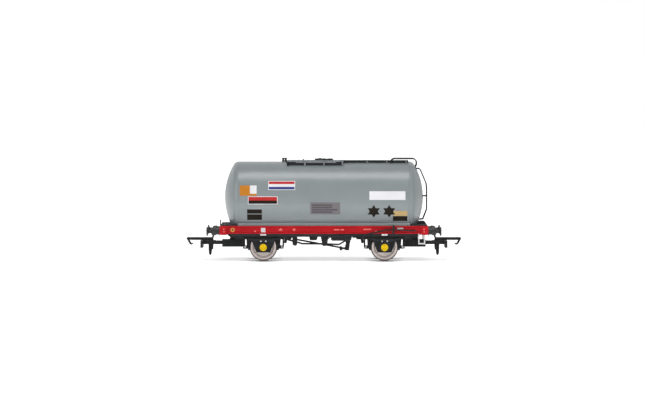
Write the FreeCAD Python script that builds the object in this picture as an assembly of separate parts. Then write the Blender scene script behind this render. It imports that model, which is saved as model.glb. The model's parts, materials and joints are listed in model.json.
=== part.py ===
"""OO gauge (1:76.2) model of a British four-wheeled railway tank car.

X runs along the wagon, and +X is the ladder end. Y runs across, and -Y is the near side.
Z is up from the bottoms of the wheel flanges. The origin is midway between the axles.
All sizes are in millimetres. Pieces at both ends or sides are made once, at +X or +Y,
and then mirrored or turned.
"""
import FreeCAD, Part
import math
import os
from FreeCAD import Vector

os.makedirs("parts", exist_ok=True)

# ---------------------------------------------------------------- driving dimensions
wheelbase = 60.0
frame_overhang = 21.6         # axle to the outer face of the headstock
axle_length = 26.0            # over the points, which sets the width of the frame

flange_radius = 7.0
tread_radius = 6.3
back_to_back = 14.5           # between the inner faces of the wheels
wheel_width = 2.8
flange_width = 0.7
axle_radius = 1.0

rail_over_axle = 5.4          # axle centre to the underside of the side rails
rail_height = 1.3
solebar_height = 3.9
headstock_height = 4.5
headstock_thickness = 3.4
headstock_chamfer = 0.5

tank_radius = 17.75
tank_setback = 9.3            # headstock face to the end of the barrel
crown_radius = 32.0
knuckle_radius = 3.0
tank_to_frame = 1.14          # tank to the inner top corner of a solebar, at least
tank_to_floor = 0.05          # at least

# ---------------------------------------------------------------- clearances
running_clearance = 0.06      # radial, a turning piece in its bearing
hook_side_clearance = 0.15    # each side of a coupling hook in its slot
pocket_clearance = 0.05       # a coupling shank in its pocket, at its sides and top
deck_gap = 0.3                # an end deck round the tank
ballast_clearance = 0.1
shoe_gap = 0.35               # brake shoe to wheel tread
lever_gap = 0.4               # hand lever to the face of the solebar

# ---------------------------------------------------------------- worked out from these
axle_x = wheelbase / 2
wheel_z = flange_radius
wheel_back = back_to_back / 2
wheel_face = wheel_back + wheel_width
frame_end = axle_x + frame_overhang
headstock_inner = frame_end - headstock_thickness

guard_thickness = 1.2
guard_half_top = 5.85         # half the width of an axle guard at the floor
guard_inner = axle_length / 2 - 1.4
guard_outer = guard_inner + guard_thickness
web_inner = guard_outer + 0.2
web_thickness = 0.6
web_outer = web_inner + web_thickness
channel_depth = 0.9
frame_side = web_outer + channel_depth
rail_inner = web_inner - 0.4
rail_outer = frame_side - 0.15

rail_bottom = wheel_z + rail_over_axle
solebar_bottom = rail_bottom + rail_height
solebar_top = solebar_bottom + solebar_height
headstock_bottom = solebar_top - headstock_height
floor_top = solebar_bottom - 0.2
floor_bottom = rail_bottom - 0.3

frame_reach = (tank_radius + tank_to_frame) ** 2 - web_inner ** 2
tank_axis_z = max(floor_top + tank_to_floor + tank_radius,
                  solebar_top + math.sqrt(max(frame_reach, 0)))
tank_top = tank_axis_z + tank_radius
barrel_end = frame_end - tank_setback
ENDS = {"left": -1, "right": 1}
SIDES = {"near": -1, "far": 1}
X_AXIS = Vector(1, 0, 0)
Y_AXIS = Vector(0, 1, 0)
Z_AXIS = Vector(0, 0, 1)


# ---------------------------------------------------------------- helpers
def box(x0, x1, y0, y1, z0, z1):
    """Box between two corners."""
    corner = Vector(min(x0, x1), min(y0, y1), min(z0, z1))
    return Part.makeBox(abs(x1 - x0), abs(y1 - y0), abs(z1 - z0), corner)


def rod(start, end, radius, end_radius=None):
    """Round bar, or cone, between two points."""
    start = Vector(*start)
    run = Vector(*end) - start
    if end_radius is None:
        return Part.makeCylinder(radius, run.Length, start, run)
    return Part.makeCone(radius, end_radius, run.Length, start, run)


def join(solids):
    """Fuse solids that touch into one clean solid."""
    solids = list(solids)
    return solids[0].fuse(solids[1:]).removeSplitter()


def mirror_x(solid):
    return solid.mirror(Vector(0, 0, 0), X_AXIS)


def mirror_y(solid):
    return solid.mirror(Vector(0, 0, 0), Y_AXIS)


def at_end(solid, end):
    """Put a piece that was made at the +X end at either end."""
    return solid if ENDS[end] > 0 else mirror_x(solid)


def both_turned(solids):
    """Pieces with copies turned half round to the opposite side and end."""
    made = []
    for solid in solids:
        copy = solid.copy()
        copy.rotate(Vector(0, 0, 0), Z_AXIS, 180)
        made += [solid, copy]
    return made


def both_sides(solids):
    return [made for solid in solids for made in (solid, mirror_y(solid))]


def four_corners(solids):
    """Copy pieces that were made about the +X axle, at +Y, to all four corners."""
    across = both_sides(solids)
    return [made for solid in across for made in (solid, mirror_x(solid))]


def corner_edges(points, radius, closed):
    """Straight edges through XZ points, with the corners rounded to a radius."""
    spots = [Vector(x, 0, z) for x, z in points]
    count = len(spots)
    cuts = {}
    for index in range(count):
        if not closed and index in (0, count - 1):
            cuts[index] = (spots[index], None, spots[index])
            continue
        here = spots[index]
        back = (spots[index - 1] - here).normalize()
        ahead = (spots[(index + 1) % count] - here).normalize()
        half = back.getAngle(ahead) / 2
        if radius <= 0 or math.pi / 2 - half < 0.01:
            cuts[index] = (here, None, here)
            continue
        reach = radius / math.tan(half)
        inward = (back + ahead).normalize()
        middle = here + inward * (radius / math.sin(half) - radius)
        cuts[index] = (here + back * reach, middle, here + ahead * reach)
    edges = []
    for index in range(count if closed else count - 1):
        following = (index + 1) % count
        edges.append(Part.LineSegment(cuts[index][2], cuts[following][0]).toShape())
        if cuts[following][1] is not None:
            edges.append(Part.Arc(*cuts[following]).toShape())
    return edges


def plate(points, y0, y1, radius=0.0):
    """Plate with an XZ outline, from y0 to y1, with rounded corners if a radius is given."""
    face = Part.Face(Part.Wire(corner_edges(points, radius, True)))
    face.translate(Vector(0, min(y0, y1), 0))
    return face.extrude(Vector(0, abs(y1 - y0), 0))


def offset_path(points, distance):
    """XZ path moved sideways by a distance, with mitred corners."""
    moved = []
    for index, (x, z) in enumerate(points):
        runs = []
        for first, second in ((index - 1, index), (index, index + 1)):
            if 0 <= first and second < len(points):
                dx = points[second][0] - points[first][0]
                dz = points[second][1] - points[first][1]
                length = math.hypot(dx, dz)
                runs.append((-dz / length, dx / length))
        nx = sum(run[0] for run in runs)
        nz = sum(run[1] for run in runs)
        size = math.hypot(nx, nz)
        nx, nz = nx / size, nz / size
        stretch = distance / (nx * runs[0][0] + nz * runs[0][1])
        moved.append((x + nx * stretch, z + nz * stretch))
    return moved


def strap(points, thickness, y0, y1):
    """Flat bar whose edge follows an XZ path."""
    outline = offset_path(points, thickness / 2) + offset_path(points, -thickness / 2)[::-1]
    return plate(outline, y0, y1)


def wire(points, y, radius, bend):
    """Round wire along an XZ path at one y, with tangent bends."""
    edges = corner_edges(points, bend, False)
    path = Part.Wire(edges)
    path.translate(Vector(0, y, 0))
    start = path.Vertexes[0].Point
    along = path.Edges[0].tangentAt(path.Edges[0].FirstParameter)
    ring = Part.Wire(Part.makeCircle(radius, start, along))
    return path.makePipeShell([ring], True, True)


def turned(profile, axis):
    """Solid of revolution. Profile points are (along, out), about the X or the Y axis."""
    out = Z_AXIS
    spots = [axis * along + out * away for along, away in profile]
    face = Part.Face(Part.makePolygon(spots + spots[:1]))
    return face.revolve(Vector(0, 0, 0), axis, 360)


def moved(solid, x, y, z):
    copy = solid.copy()
    copy.translate(Vector(x, y, z))
    return copy


def export(node, solids):
    """Write one node. A node may hold several solids."""
    if not isinstance(solids, list):
        solids = [solids]
    pieces = [piece for solid in solids for piece in solid.Solids]
    shape = pieces[0] if len(pieces) == 1 else Part.makeCompound(pieces)
    if not shape.isValid() or any(piece.Volume <= 0 for piece in pieces):
        raise ValueError(node + " is not a valid solid")
    shape.exportStep("parts/" + node + ".step")


# ---------------------------------------------------------------- tank
def dished_head(growth=0.0):
    """Dished head at +X: a shallow crown that meets the barrel with a tight knuckle."""
    radius = tank_radius + growth
    knuckle = knuckle_radius + growth
    crown = crown_radius + growth
    ring = radius - knuckle
    crown_centre = -math.sqrt((crown - knuckle) ** 2 - ring ** 2)
    meet = math.asin(ring / (crown - knuckle))

    def spot(along, out):
        return Vector(barrel_end + along, 0, out)

    def on_arc(centre, out, size, angle):
        return spot(centre + size * math.cos(angle), out + size * math.sin(angle))

    start = spot(0, radius)
    middle = on_arc(0, ring, knuckle, (math.pi / 2 + meet) / 2)
    tangent = on_arc(0, ring, knuckle, meet)
    shoulder = on_arc(crown_centre, 0, crown, meet / 2)
    apex = spot(crown_centre + crown, 0)
    centre = spot(0, 0)
    edges = [Part.Arc(start, middle, tangent).toShape(),
             Part.Arc(tangent, shoulder, apex).toShape(),
             Part.LineSegment(apex, centre).toShape(),
             Part.LineSegment(centre, start).toShape()]
    head = Part.Face(Part.Wire(edges)).revolve(Vector(0, 0, 0), X_AXIS, 360)
    head.translate(Vector(0, 0, tank_axis_z))
    return head


def barrel(growth=0.0):
    return rod((-barrel_end, 0, tank_axis_z), (barrel_end, 0, tank_axis_z), tank_radius + growth)


def grooved_barrel():
    """Barrel with a chamfer at both ends, which shows as the seam of each head."""
    profile = [(-barrel_end, 0), (-barrel_end, tank_radius - seam_depth),
               (seam_depth - barrel_end, tank_radius), (barrel_end - seam_depth, tank_radius),
               (barrel_end, tank_radius - seam_depth), (barrel_end, 0)]
    return moved(turned(profile, X_AXIS), 0, 0, tank_axis_z)


def tank_form(growth=0.0):
    """Outside of the whole tank, grown on all sides: what seats on it is cut with it."""
    head = dished_head(growth)
    return join([barrel(growth), head, mirror_x(head)])


tank = tank_form()

seam_depth = 0.1
ballast_length = 48.0
ballast_width = 11.0
ballast_height = 2.9


def ballast_block(gap):
    """Steel bar on the floor, let into the underside of the barrel."""
    half_length = ballast_length / 2 + gap
    half_width = ballast_width / 2 + gap
    return box(-half_length, half_length, -half_width, half_width,
               floor_top - gap, floor_top + ballast_height + gap)


export("tank_barrel", grooved_barrel().cut(ballast_block(ballast_clearance)))
for end in ENDS:
    export("tank_head_" + end, at_end(dished_head(), end))
export("ballast_bar", ballast_block(0))

# ---------------------------------------------------------------- manhole
manhole_neck_radius = 3.9
manhole_neck_height = 0.85    # above the top of the tank
manhole_flange = 0.35
manhole_lid_radius = 4.55
manhole_lid_edge = 0.4
manhole_lid_rise = 0.15
dog_count = 8
dog_radius = 0.5
dog_height = 0.25
handle_x = -1.9
handle_radius = 1.1
handle_height = 0.35

manhole_neck_top = tank_top + manhole_neck_height
lid_top = manhole_neck_top + manhole_lid_edge
neck = rod((0, 0, tank_axis_z), (0, 0, manhole_neck_top), manhole_neck_radius)
flange = rod((0, 0, manhole_neck_top - manhole_flange), (0, 0, manhole_neck_top), manhole_lid_radius)
export("manhole_neck", join([neck, flange]).cut(tank))


def manhole_lid():
    """Disc with a flat rim and a raised middle with sloping sides."""
    disc = rod((0, 0, manhole_neck_top), (0, 0, lid_top), manhole_lid_radius)
    middle = rod((0, 0, lid_top), (0, 0, lid_top + manhole_lid_rise), manhole_lid_radius - 1.0,
                 manhole_lid_radius - 1.4)
    return join([disc, middle])


export("manhole_lid", manhole_lid())


def manhole_dogs():
    """Clamp nuts round the rim of the lid, and the boss of its handle."""
    dogs = []
    ring = manhole_lid_radius - dog_radius
    for number in range(dog_count):
        angle = 2 * math.pi * number / dog_count
        x = ring * math.cos(angle)
        y = ring * math.sin(angle)
        dogs.append(rod((x, y, lid_top), (x, y, lid_top + dog_height), dog_radius))
    handle_base = lid_top + manhole_lid_rise
    handle = rod((handle_x, 0, handle_base), (handle_x, 0, handle_base + handle_height),
                 handle_radius, handle_radius / 2)
    return dogs + [handle]


export("manhole_dogs", manhole_dogs())

# ---------------------------------------------------------------- walkways
walkway_gap = 0.05            # plate above the top of the tank
plate_thickness = 0.5
wide_start = -18.05
wide_end = 9.7
wide_half_width = 8.0
narrow_end = barrel_end - 0.4
narrow_half_width = 4.5
kerb_thickness = 0.5
lip_thickness = 0.25
lip_depth = 0.5
lip_start = wide_start + 4.2
lip_end = wide_end - 3.7
wide_kerb_depth = 1.9
narrow_kerb_depth = 0.7
manhole_gap = 0.4             # walkway opening round the manhole lid
walkway_bottom = tank_top + walkway_gap
walkway_top = walkway_bottom + plate_thickness


def walkway_plate(start, end, half_width):
    return box(start, end, -half_width, half_width, walkway_bottom, walkway_top)


def edge_lip():
    """Turned-down edge along the middle of the wide walkway."""
    return box(lip_start, lip_end, wide_half_width - lip_thickness, wide_half_width,
               walkway_bottom - lip_depth, walkway_top)


def walkway_bearers(start, end, half_width, depth):
    """Bars on the tank along both edges of a walkway, and cross bars below its ends."""
    low = walkway_bottom - depth
    bars = []
    for side in SIDES.values():
        outer = side * (half_width - lip_thickness)
        inner = outer - side * kerb_thickness
        bars.append(box(start, end, outer, inner, low, walkway_bottom))
    for x in (start, end - kerb_thickness):
        bars.append(box(x, x + kerb_thickness, lip_thickness - half_width,
                        half_width - lip_thickness, low, walkway_bottom))
    return join(bars).cut(tank)


manhole_opening = rod((0, 0, walkway_bottom - 1), (0, 0, walkway_top + 1),
                      manhole_lid_radius + manhole_gap)
wide_plate = join([walkway_plate(wide_start, wide_end, wide_half_width)] + both_sides([edge_lip()]))
export("walkway_wide", wide_plate.cut(manhole_opening))
export("walkway_narrow", walkway_plate(wide_end, narrow_end, narrow_half_width))
bracket_width = 0.7
bracket_thickness = 0.5
bracket_drop = 2.9            # below the top of the plate
end_bracket_lean = 1.0
wide_bracket_x = [-9.4, 0.0, 9.2]
narrow_bracket_x = [narrow_end - 20.4, narrow_end - 10.7, narrow_end - 1.0]


def walkway_bracket(x, half_width, lean=0.0):
    """Lug on the tank that the edge of a walkway is screwed to; it may lean outwards in X."""
    half = bracket_width / 2
    outline = [(x - half - lean, walkway_top), (x + half - lean, walkway_top),
               (x + half, walkway_top - bracket_drop), (x - half, walkway_top - bracket_drop)]
    lug = plate(outline, half_width, half_width + bracket_thickness)
    return lug.cut(tank)


end_bracket = walkway_bracket(wide_start + 0.35, wide_half_width, end_bracket_lean)
brackets = [walkway_bracket(x, wide_half_width) for x in wide_bracket_x]
brackets += [walkway_bracket(x, narrow_half_width) for x in narrow_bracket_x]
export("walkway_bearers",
       [walkway_bearers(wide_start, wide_end, wide_half_width, wide_kerb_depth),
        walkway_bearers(wide_end, narrow_end, narrow_half_width, narrow_kerb_depth)]
       + both_sides([end_bracket]))
export("walkway_brackets", both_sides(brackets))

# ---------------------------------------------------------------- tank top fittings
valve_x = [-20.25, -19.0]
valve_stem_radius = 0.5
valve_cap_radius = 0.6
valve_height = 1.85           # above the top of the tank
valve_cap_height = 0.6
valve_base_height = 0.7


def vent_valve(x):
    top = tank_top + valve_height
    stem = rod((x, 0, tank_axis_z), (x, 0, top), valve_stem_radius)
    cap = rod((x, 0, top - valve_cap_height), (x, 0, top), valve_cap_radius)
    base = rod((x, 0, tank_axis_z), (x, 0, tank_top + valve_base_height), valve_cap_radius)
    return join([stem, cap, base]).cut(tank)


dip_pipe_x = -10.2
dip_pipe_y = -3.0
dip_pipe_radius = 0.3
dip_pipe = rod((dip_pipe_x, dip_pipe_y, walkway_top),
               (dip_pipe_x, dip_pipe_y, walkway_top + 0.9), dip_pipe_radius)
export("vent_valves", [vent_valve(x) for x in valve_x])
export("dip_pipe_cap", dip_pipe)

# ---------------------------------------------------------------- handrails and ladder
handrail_y = narrow_half_width + 0.5
handrail_radius = 0.27
handrail_bend = 2.1
# distance beyond the end of the barrel, height above the top of the tank
handrail_points = [(-9.6, -1.9), (-8.6, 1.5), (3.75, 1.5), (3.75, -1.3), (2.6, -3.6)]
handrail_path = [(barrel_end + along, tank_top + up) for along, up in handrail_points]
handrail = wire(handrail_path, handrail_y, handrail_radius, handrail_bend).cut(tank)
export("handrails", both_sides([handrail]))

ladder_half_width = 2.7       # to the middle of a stile
stile_thickness = 0.55
stile_width = 0.5
# distance beyond the end of the barrel, and height
ladder_points = [(1.7, tank_top - 3.45), (4.95, tank_top - 3.45), (5.75, tank_top - 4.15),
                 (8.55, tank_axis_z + 7.0), (8.85, tank_axis_z + 4.4), (8.85, tank_axis_z - 5.9),
                 (6.95, solebar_top + 2.9), (3.7, solebar_top + 2.6)]
ladder_path = [(barrel_end + along, z) for along, z in ladder_points]
rung_radius = 0.25
rung_count = 8
rung_top_z = tank_top - 5.85
rung_bottom_z = solebar_top + 4.8
stay_z = tank_axis_z + 0.7


def path_x(points, z):
    """X of a path that goes down, at a height z."""
    for (x0, z0), (x1, z1) in zip(points, points[1:]):
        if z1 <= z <= z0:
            return x0 + (x1 - x0) * (z0 - z) / (z0 - z1)
    raise ValueError("height is off the path")


def end_ladder():
    """Two flat stiles that follow the tank head, round rungs, and a stay to each stile."""
    inner = ladder_half_width - stile_width / 2
    outer = ladder_half_width + stile_width / 2
    stile = strap(ladder_path, stile_thickness, inner, outer)
    stay = box(tank_radius, path_x(ladder_path, stay_z), inner, outer,
               stay_z - stile_thickness / 2, stay_z + stile_thickness / 2)
    sides = both_sides([stile, stay])
    rungs = []
    for number in range(rung_count):
        z = rung_top_z + (rung_bottom_z - rung_top_z) * number / (rung_count - 1)
        x = path_x(ladder_path[1:], z)
        rungs.append(rod((x, -ladder_half_width, z), (x, ladder_half_width, z), rung_radius))
    return join(sides + rungs).cut(tank)


export("end_ladder", end_ladder())

# ---------------------------------------------------------------- underframe
channel_flange = 0.5
rail_end = frame_end - 5.1
rail_slope = 1.0
well_side_gap = 0.6
well_end_gap = 0.8
rib_height = 0.8
rib_thickness = 1.0
inner_rib_y = 5.2
inner_rib_reach = 15.8        # from an axle towards the middle
outer_rib_reach = 14.0
outer_rib_height = 1.25
rib_end_reach = 13.5          # from an axle towards the headstock
cross_rib_x = [-16.5, 0.4, 16.5]
well_half_length = math.sqrt(flange_radius ** 2 - (floor_bottom - wheel_z) ** 2) + well_end_gap


def solebar():
    """Channel at +Y with its open side outwards, between the headstocks."""
    section = [(web_inner, solebar_bottom), (frame_side, solebar_bottom),
               (frame_side, solebar_bottom + channel_flange),
               (web_outer, solebar_bottom + channel_flange),
               (web_outer, solebar_top - channel_flange),
               (frame_side, solebar_top - channel_flange),
               (frame_side, solebar_top), (web_inner, solebar_top)]
    spots = [Vector(-headstock_inner, y, z) for y, z in section]
    face = Part.Face(Part.makePolygon(spots + spots[:1]))
    return face.extrude(Vector(2 * headstock_inner, 0, 0))


export("solebar_far", solebar())
export("solebar_near", mirror_y(solebar()))


def headstock():
    """End beam at +X, full width over the solebars, with its outer edges taken off."""
    face = frame_end - headstock_chamfer
    outline = [(headstock_inner, headstock_bottom), (face, headstock_bottom),
               (frame_end, headstock_bottom + headstock_chamfer),
               (frame_end, solebar_top - headstock_chamfer), (face, solebar_top),
               (headstock_inner, solebar_top)]
    return plate(outline, -frame_side, frame_side)


for end in ENDS:
    export("headstock_" + end, at_end(headstock(), end))


def underframe_floor():
    """Floor with wheel wells and ribs, and the side rails that the solebars sit on."""
    floor = plate([(-headstock_inner, floor_top), (-rail_end, floor_bottom),
                   (rail_end, floor_bottom), (headstock_inner, floor_top)],
                  -rail_inner, rail_inner)
    rail = plate([(-rail_end, solebar_bottom), (rail_slope - rail_end, rail_bottom),
                  (rail_end - rail_slope, rail_bottom), (rail_end, solebar_bottom)],
                 rail_inner, rail_outer)
    well = box(axle_x - well_half_length, axle_x + well_half_length, wheel_back - well_side_gap,
               wheel_face + well_side_gap, floor_bottom - 1, floor_top + 1)
    low = floor_bottom - rib_height
    cross_ribs = []
    for x in cross_rib_x:
        cross_ribs.append(box(x - rib_thickness / 2, x + rib_thickness / 2, 0, guard_outer,
                              low, floor_bottom))
    ribs = [box(axle_x - inner_rib_reach, axle_x + rib_end_reach, inner_rib_y,
                inner_rib_y + rib_thickness, low, floor_bottom)]
    for start, end in ((-outer_rib_reach, -guard_half_top), (guard_half_top, rib_end_reach)):
        ribs.append(box(axle_x + start, axle_x + end, guard_inner, guard_inner + rib_thickness,
                        floor_bottom - outer_rib_height, floor_bottom))
    ribs += [mirror_x(rib) for rib in ribs] + cross_ribs
    return join([floor] + both_sides([rail] + ribs)).cut(four_corners([well]))


floor = underframe_floor()
export("underframe_floor", floor)

deck_thickness = 0.6
deck_start = frame_end - 9.0
deck_margin = 0.6             # deck edge to the outside of the frame


def end_deck():
    """Deck plate at +X on the solebars and the headstock, hollowed round the tank head."""
    half_width = frame_side - deck_margin
    deck = box(deck_start, frame_end - deck_margin, -half_width, half_width,
               solebar_top, solebar_top + deck_thickness)
    return deck.cut(tank_form(deck_gap))


for end in ENDS:
    export("end_deck_" + end, at_end(end_deck(), end))

saddle_x = [13.0, barrel_end - 1.3]
saddle_thickness = 1.6
cradle_height = 1.5
cradle_thickness = 0.5


def saddle(x):
    """Block at +Y, on the floor and against the solebar, hollowed to carry the tank."""
    start = x - saddle_thickness / 2
    end = start + saddle_thickness
    inner = ballast_width / 2 + ballast_clearance
    lower = box(start, end, inner, rail_inner, floor_top, solebar_bottom)
    upper = box(start, end, inner, web_inner, solebar_bottom, solebar_top)
    return join([lower, upper]).cut(tank)


def cradle_strip():
    """Strip at +Y that stands on the solebar beside the tank, from deck to deck."""
    strip = box(-deck_start, deck_start, web_inner, web_inner + cradle_thickness,
                solebar_top, solebar_top + cradle_height)
    return strip.cut(tank)


export("tank_saddles", four_corners([saddle(x) for x in saddle_x]) + both_sides([cradle_strip()]))

# ---------------------------------------------------------------- end fittings
step_length = 3.7
step_height = 1.8             # above the solebar
step_corner = 0.9
step_half_width = 5.0
step_end = frame_end - 1.1
step_start = step_end - step_length


def ladder_step():
    """Step at the foot of the ladder, with rounded shoulders, standing on the end deck."""
    top = solebar_top + step_height
    low = solebar_top - 2 * step_corner
    hump = plate([(step_start, low), (step_start, top), (step_end, top), (step_end, low)],
                 -step_half_width, step_half_width, step_corner)
    below = box(step_start, step_end, -step_half_width, step_half_width,
                low, solebar_top + deck_thickness)
    return hump.cut([below, tank_form(deck_gap)])


export("ladder_step", ladder_step())

stirrup_x = frame_end - 3.25
stirrup_width = 3.5
stirrup_drop = 5.2            # below the solebar
stirrup_bar = 0.65
stirrup_depth = 1.0


def stirrup_step():
    """Open stirrup below the solebar, at the ladder end."""
    half = (stirrup_width - stirrup_bar) / 2
    low = solebar_bottom - stirrup_drop + stirrup_bar / 2
    path = [(stirrup_x - half, solebar_bottom), (stirrup_x - half, low),
            (stirrup_x + half, low), (stirrup_x + half, solebar_bottom)]
    stirrup = strap(path, stirrup_bar, frame_side - stirrup_depth, frame_side)
    return stirrup.cut(headstock())


export("stirrup_steps", both_sides([stirrup_step()]))

lamp_iron_y = -9.0
lamp_iron_height = 2.8
lamp_iron_thickness = 0.55
lamp_iron_width = 1.0
lamp_iron_x = lamp_iron_thickness / 2 - frame_end
lamp_iron = box(lamp_iron_x - lamp_iron_thickness / 2, lamp_iron_x + lamp_iron_thickness / 2,
                lamp_iron_y - lamp_iron_width / 2, lamp_iron_y + lamp_iron_width / 2,
                solebar_top, solebar_top + lamp_iron_height)
export("lamp_iron", lamp_iron)

buffer_y = 11.4
buffer_z = headstock_bottom + 1.65
buffer_reach = 6.6            # headstock to the face of the head
# distance along from the headstock, radius
buffer_housing_profile = [(0, 0), (0, 2.1), (0.45, 2.1), (0.45, 1.6), (1.9, 1.6), (1.9, 1.95),
                          (2.4, 1.95), (3.9, 1.75), (4.1, 1.5), (4.1, 0)]
buffer_head_profile = [(4.1, 0), (4.1, 0.95), (5.5, 0.95), (5.7, 1.6), (5.95, 2.3), (6.35, 2.3),
                       (buffer_reach, 1.9), (buffer_reach, 0)]


def buffer_piece(profile):
    return moved(turned(profile, X_AXIS), frame_end, buffer_y, buffer_z)


export("buffer_housings", four_corners([buffer_piece(buffer_housing_profile)]))
export("buffer_heads", four_corners([buffer_piece(buffer_head_profile)]))

draw_hook_z = headstock_bottom + 2.2
draw_hook_outline = [(0, -0.5), (1.2, -0.5), (1.9, -0.2), (2.2, 0.4), (1.9, 1.0), (1.5, 1.1),
                     (1.5, 0.6), (1.1, 0.3), (0.7, 0.5), (0, 0.5)]


def draw_hook():
    hook = plate(draw_hook_outline, -0.35, 0.35)
    shoulder = box(0, 0.3, -1.0, 1.0, -0.9, 0.9)
    return moved(join([hook, shoulder]), frame_end, 0, draw_hook_z)


hook_solid = draw_hook()
export("draw_hooks", [hook_solid, mirror_x(hook_solid)])

brake_pipe_y = -4.2
brake_pipe_radius = 0.45
brake_pipe_z = headstock_bottom + 1.1
# distance out from the headstock, height from where the pipe leaves it
brake_pipe_points = [(-0.5, 0), (2.3, 0), (3.0, -0.7), (4.1, -3.6)]


def brake_pipe():
    """Rigid moulded brake pipe on the headstock, with its cock and its end fitting."""
    path = [(frame_end + along, brake_pipe_z + up) for along, up in brake_pipe_points]
    pipe = wire(path, brake_pipe_y, brake_pipe_radius, 0.5)
    cock = rod((frame_end, brake_pipe_y, brake_pipe_z),
               (frame_end + 0.6, brake_pipe_y, brake_pipe_z), 0.8)
    return join([pipe, cock]).cut(headstock())


export("brake_pipes", both_turned([brake_pipe()]))

# ---------------------------------------------------------------- axle guards and axleboxes
leaf_count = 5
leaf_thickness = 0.32
leaf_step = 1.75              # each leaf is shorter than the one above by this at each end
leaf_half_length = 10.7
leaf_inner = guard_outer + 0.4
leaf_outer = leaf_inner + 0.9
spring_rise = 0.85
spring_eye_drop = 0.55        # rail to the middle of a spring's eye
spring_top_z = rail_bottom - spring_eye_drop + leaf_thickness / 2 - spring_rise
buckle_half_width = 1.75
eye_radius = 0.45
hanger_cheek = 0.25

guard_half_bottom = 3.4
guard_shoulder_z = wheel_z + 3.4
guard_bottom = wheel_z - 2.6
bearing_radius = 1.3
bearing_rim_radius = 1.65
bearing_rim = 0.2
bearing_end = axle_length / 2 + 0.4
axle_tip_radius = 0.12
axle_cone_length = 1.75
box_outer = guard_outer + 2.2
boss_outer = box_outer + 0.5
cap_outer = boss_outer + 0.6
box_half_width = 2.75
box_bottom = wheel_z - 2.25
box_top = spring_top_z - leaf_count * leaf_thickness - 0.05   # just below the last leaf
boss_radius = min(2.45, box_top - wheel_z)
cap_radius = 1.75


def bearing_bore():
    return rod((axle_x, guard_inner - bearing_rim, wheel_z), (axle_x, bearing_end, wheel_z),
               bearing_radius)


def axle_guard():
    """Guard plate that narrows downwards and holds the axlebox."""
    outline = [(-guard_half_top, floor_bottom), (guard_half_top, floor_bottom),
               (guard_half_top, guard_shoulder_z), (guard_half_bottom, guard_bottom),
               (-guard_half_bottom, guard_bottom), (-guard_half_top, guard_shoulder_z)]
    guard = moved(plate(outline, guard_inner, guard_outer), axle_x, 0, 0)
    return guard.cut([bearing_bore(), floor])


export("axle_guards", four_corners([axle_guard()]))


def axle_bearing():
    """Brass cup with a cone for the pointed end of the axle."""
    half_axle = axle_length / 2
    cone_start = half_axle - axle_cone_length
    slope = (axle_radius - axle_tip_radius) / axle_cone_length
    rim_face = guard_inner - bearing_rim
    mouth = axle_radius + running_clearance - slope * (rim_face - cone_start)
    tip_end = half_axle + 0.15
    tip = axle_tip_radius + running_clearance
    profile = [(rim_face, mouth), (rim_face, bearing_rim_radius), (guard_inner, bearing_rim_radius),
               (guard_inner, bearing_radius), (bearing_end, bearing_radius), (bearing_end, 0),
               (tip_end, 0), (tip_end, tip), (half_axle, tip)]
    return moved(turned(profile, Y_AXIS), axle_x, 0, wheel_z)


export("axle_bearings", four_corners([axle_bearing()]))


def axlebox():
    """Box with sloping shoulders and a round boss for its cap."""
    half = box_half_width
    outline = [(-half, box_bottom + 1.2), (-half + 1.2, box_bottom), (half - 1.2, box_bottom),
               (half, box_bottom + 1.2), (half, box_top - 0.8), (half - 0.8, box_top),
               (-half + 0.8, box_top), (-half, box_top - 0.8)]
    body = moved(plate(outline, guard_outer, box_outer), axle_x, 0, 0)
    boss = rod((axle_x, guard_outer, wheel_z), (axle_x, boss_outer, wheel_z), boss_radius)
    return join([body, boss]).cut(bearing_bore())


export("axleboxes", four_corners([axlebox()]))


def axle_cap():
    """Round end cap with three screw heads."""
    cap = rod((axle_x, boss_outer, wheel_z), (axle_x, cap_outer, wheel_z), cap_radius)
    screws = []
    for number in range(3):
        angle = math.radians(90 + 120 * number)
        x = axle_x + 1.15 * math.cos(angle)
        z = wheel_z + 1.15 * math.sin(angle)
        screws.append(rod((x, cap_outer, z), (x, cap_outer + 0.2, z), 0.35))
    return join([cap] + screws)


export("axle_end_caps", four_corners([axle_cap()]))

# ---------------------------------------------------------------- springs
def leaf_spring():
    """Stack of leaves with a buckle, longest leaf on top, ends curved up to their eyes."""
    radius = (leaf_half_length ** 2 + spring_rise ** 2) / (2 * spring_rise)
    centre_z = spring_top_z + radius
    solids = []
    for number in range(leaf_count):
        half_length = leaf_half_length - leaf_step * number
        inner = radius + leaf_thickness * number
        ring = rod((0, leaf_inner, centre_z), (0, leaf_outer, centre_z), inner + leaf_thickness)
        ring = ring.cut(rod((0, leaf_inner, centre_z), (0, leaf_outer, centre_z), inner))
        span = box(-half_length, half_length, leaf_inner, leaf_outer, 0, centre_z)
        solids.append(ring.common(span))
    for side in (-1, 1):
        x = side * leaf_half_length
        z = spring_top_z + spring_rise - leaf_thickness / 2
        solids.append(rod((x, leaf_inner, z), (x, leaf_outer, z), eye_radius))
    solids.append(box(-buckle_half_width, buckle_half_width, leaf_inner - 0.2, leaf_outer + 0.4,
                      box_top, spring_top_z + 0.25))
    return moved(join(solids), axle_x, 0, 0)


export("leaf_springs", four_corners([leaf_spring()]))


def spring_hangers():
    """A pair of cheeks under the side rail holds the eye at each end of a spring."""
    z = rail_bottom - spring_eye_drop
    hangers = []
    for side in (-1, 1):
        x = side * leaf_half_length
        outline = [(x - 0.9, rail_bottom), (x - 0.6, z - 0.5), (x - 0.3, z - 0.8),
                   (x + 0.3, z - 0.8), (x + 0.6, z - 0.5), (x + 0.9, rail_bottom)]
        for inner in (leaf_inner - hanger_cheek, leaf_outer):
            cheek = plate(outline, inner, inner + hanger_cheek)
            hangers.append(moved(cheek, axle_x, 0, 0))
    return hangers


export("spring_hangers", four_corners(spring_hangers()))

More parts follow.
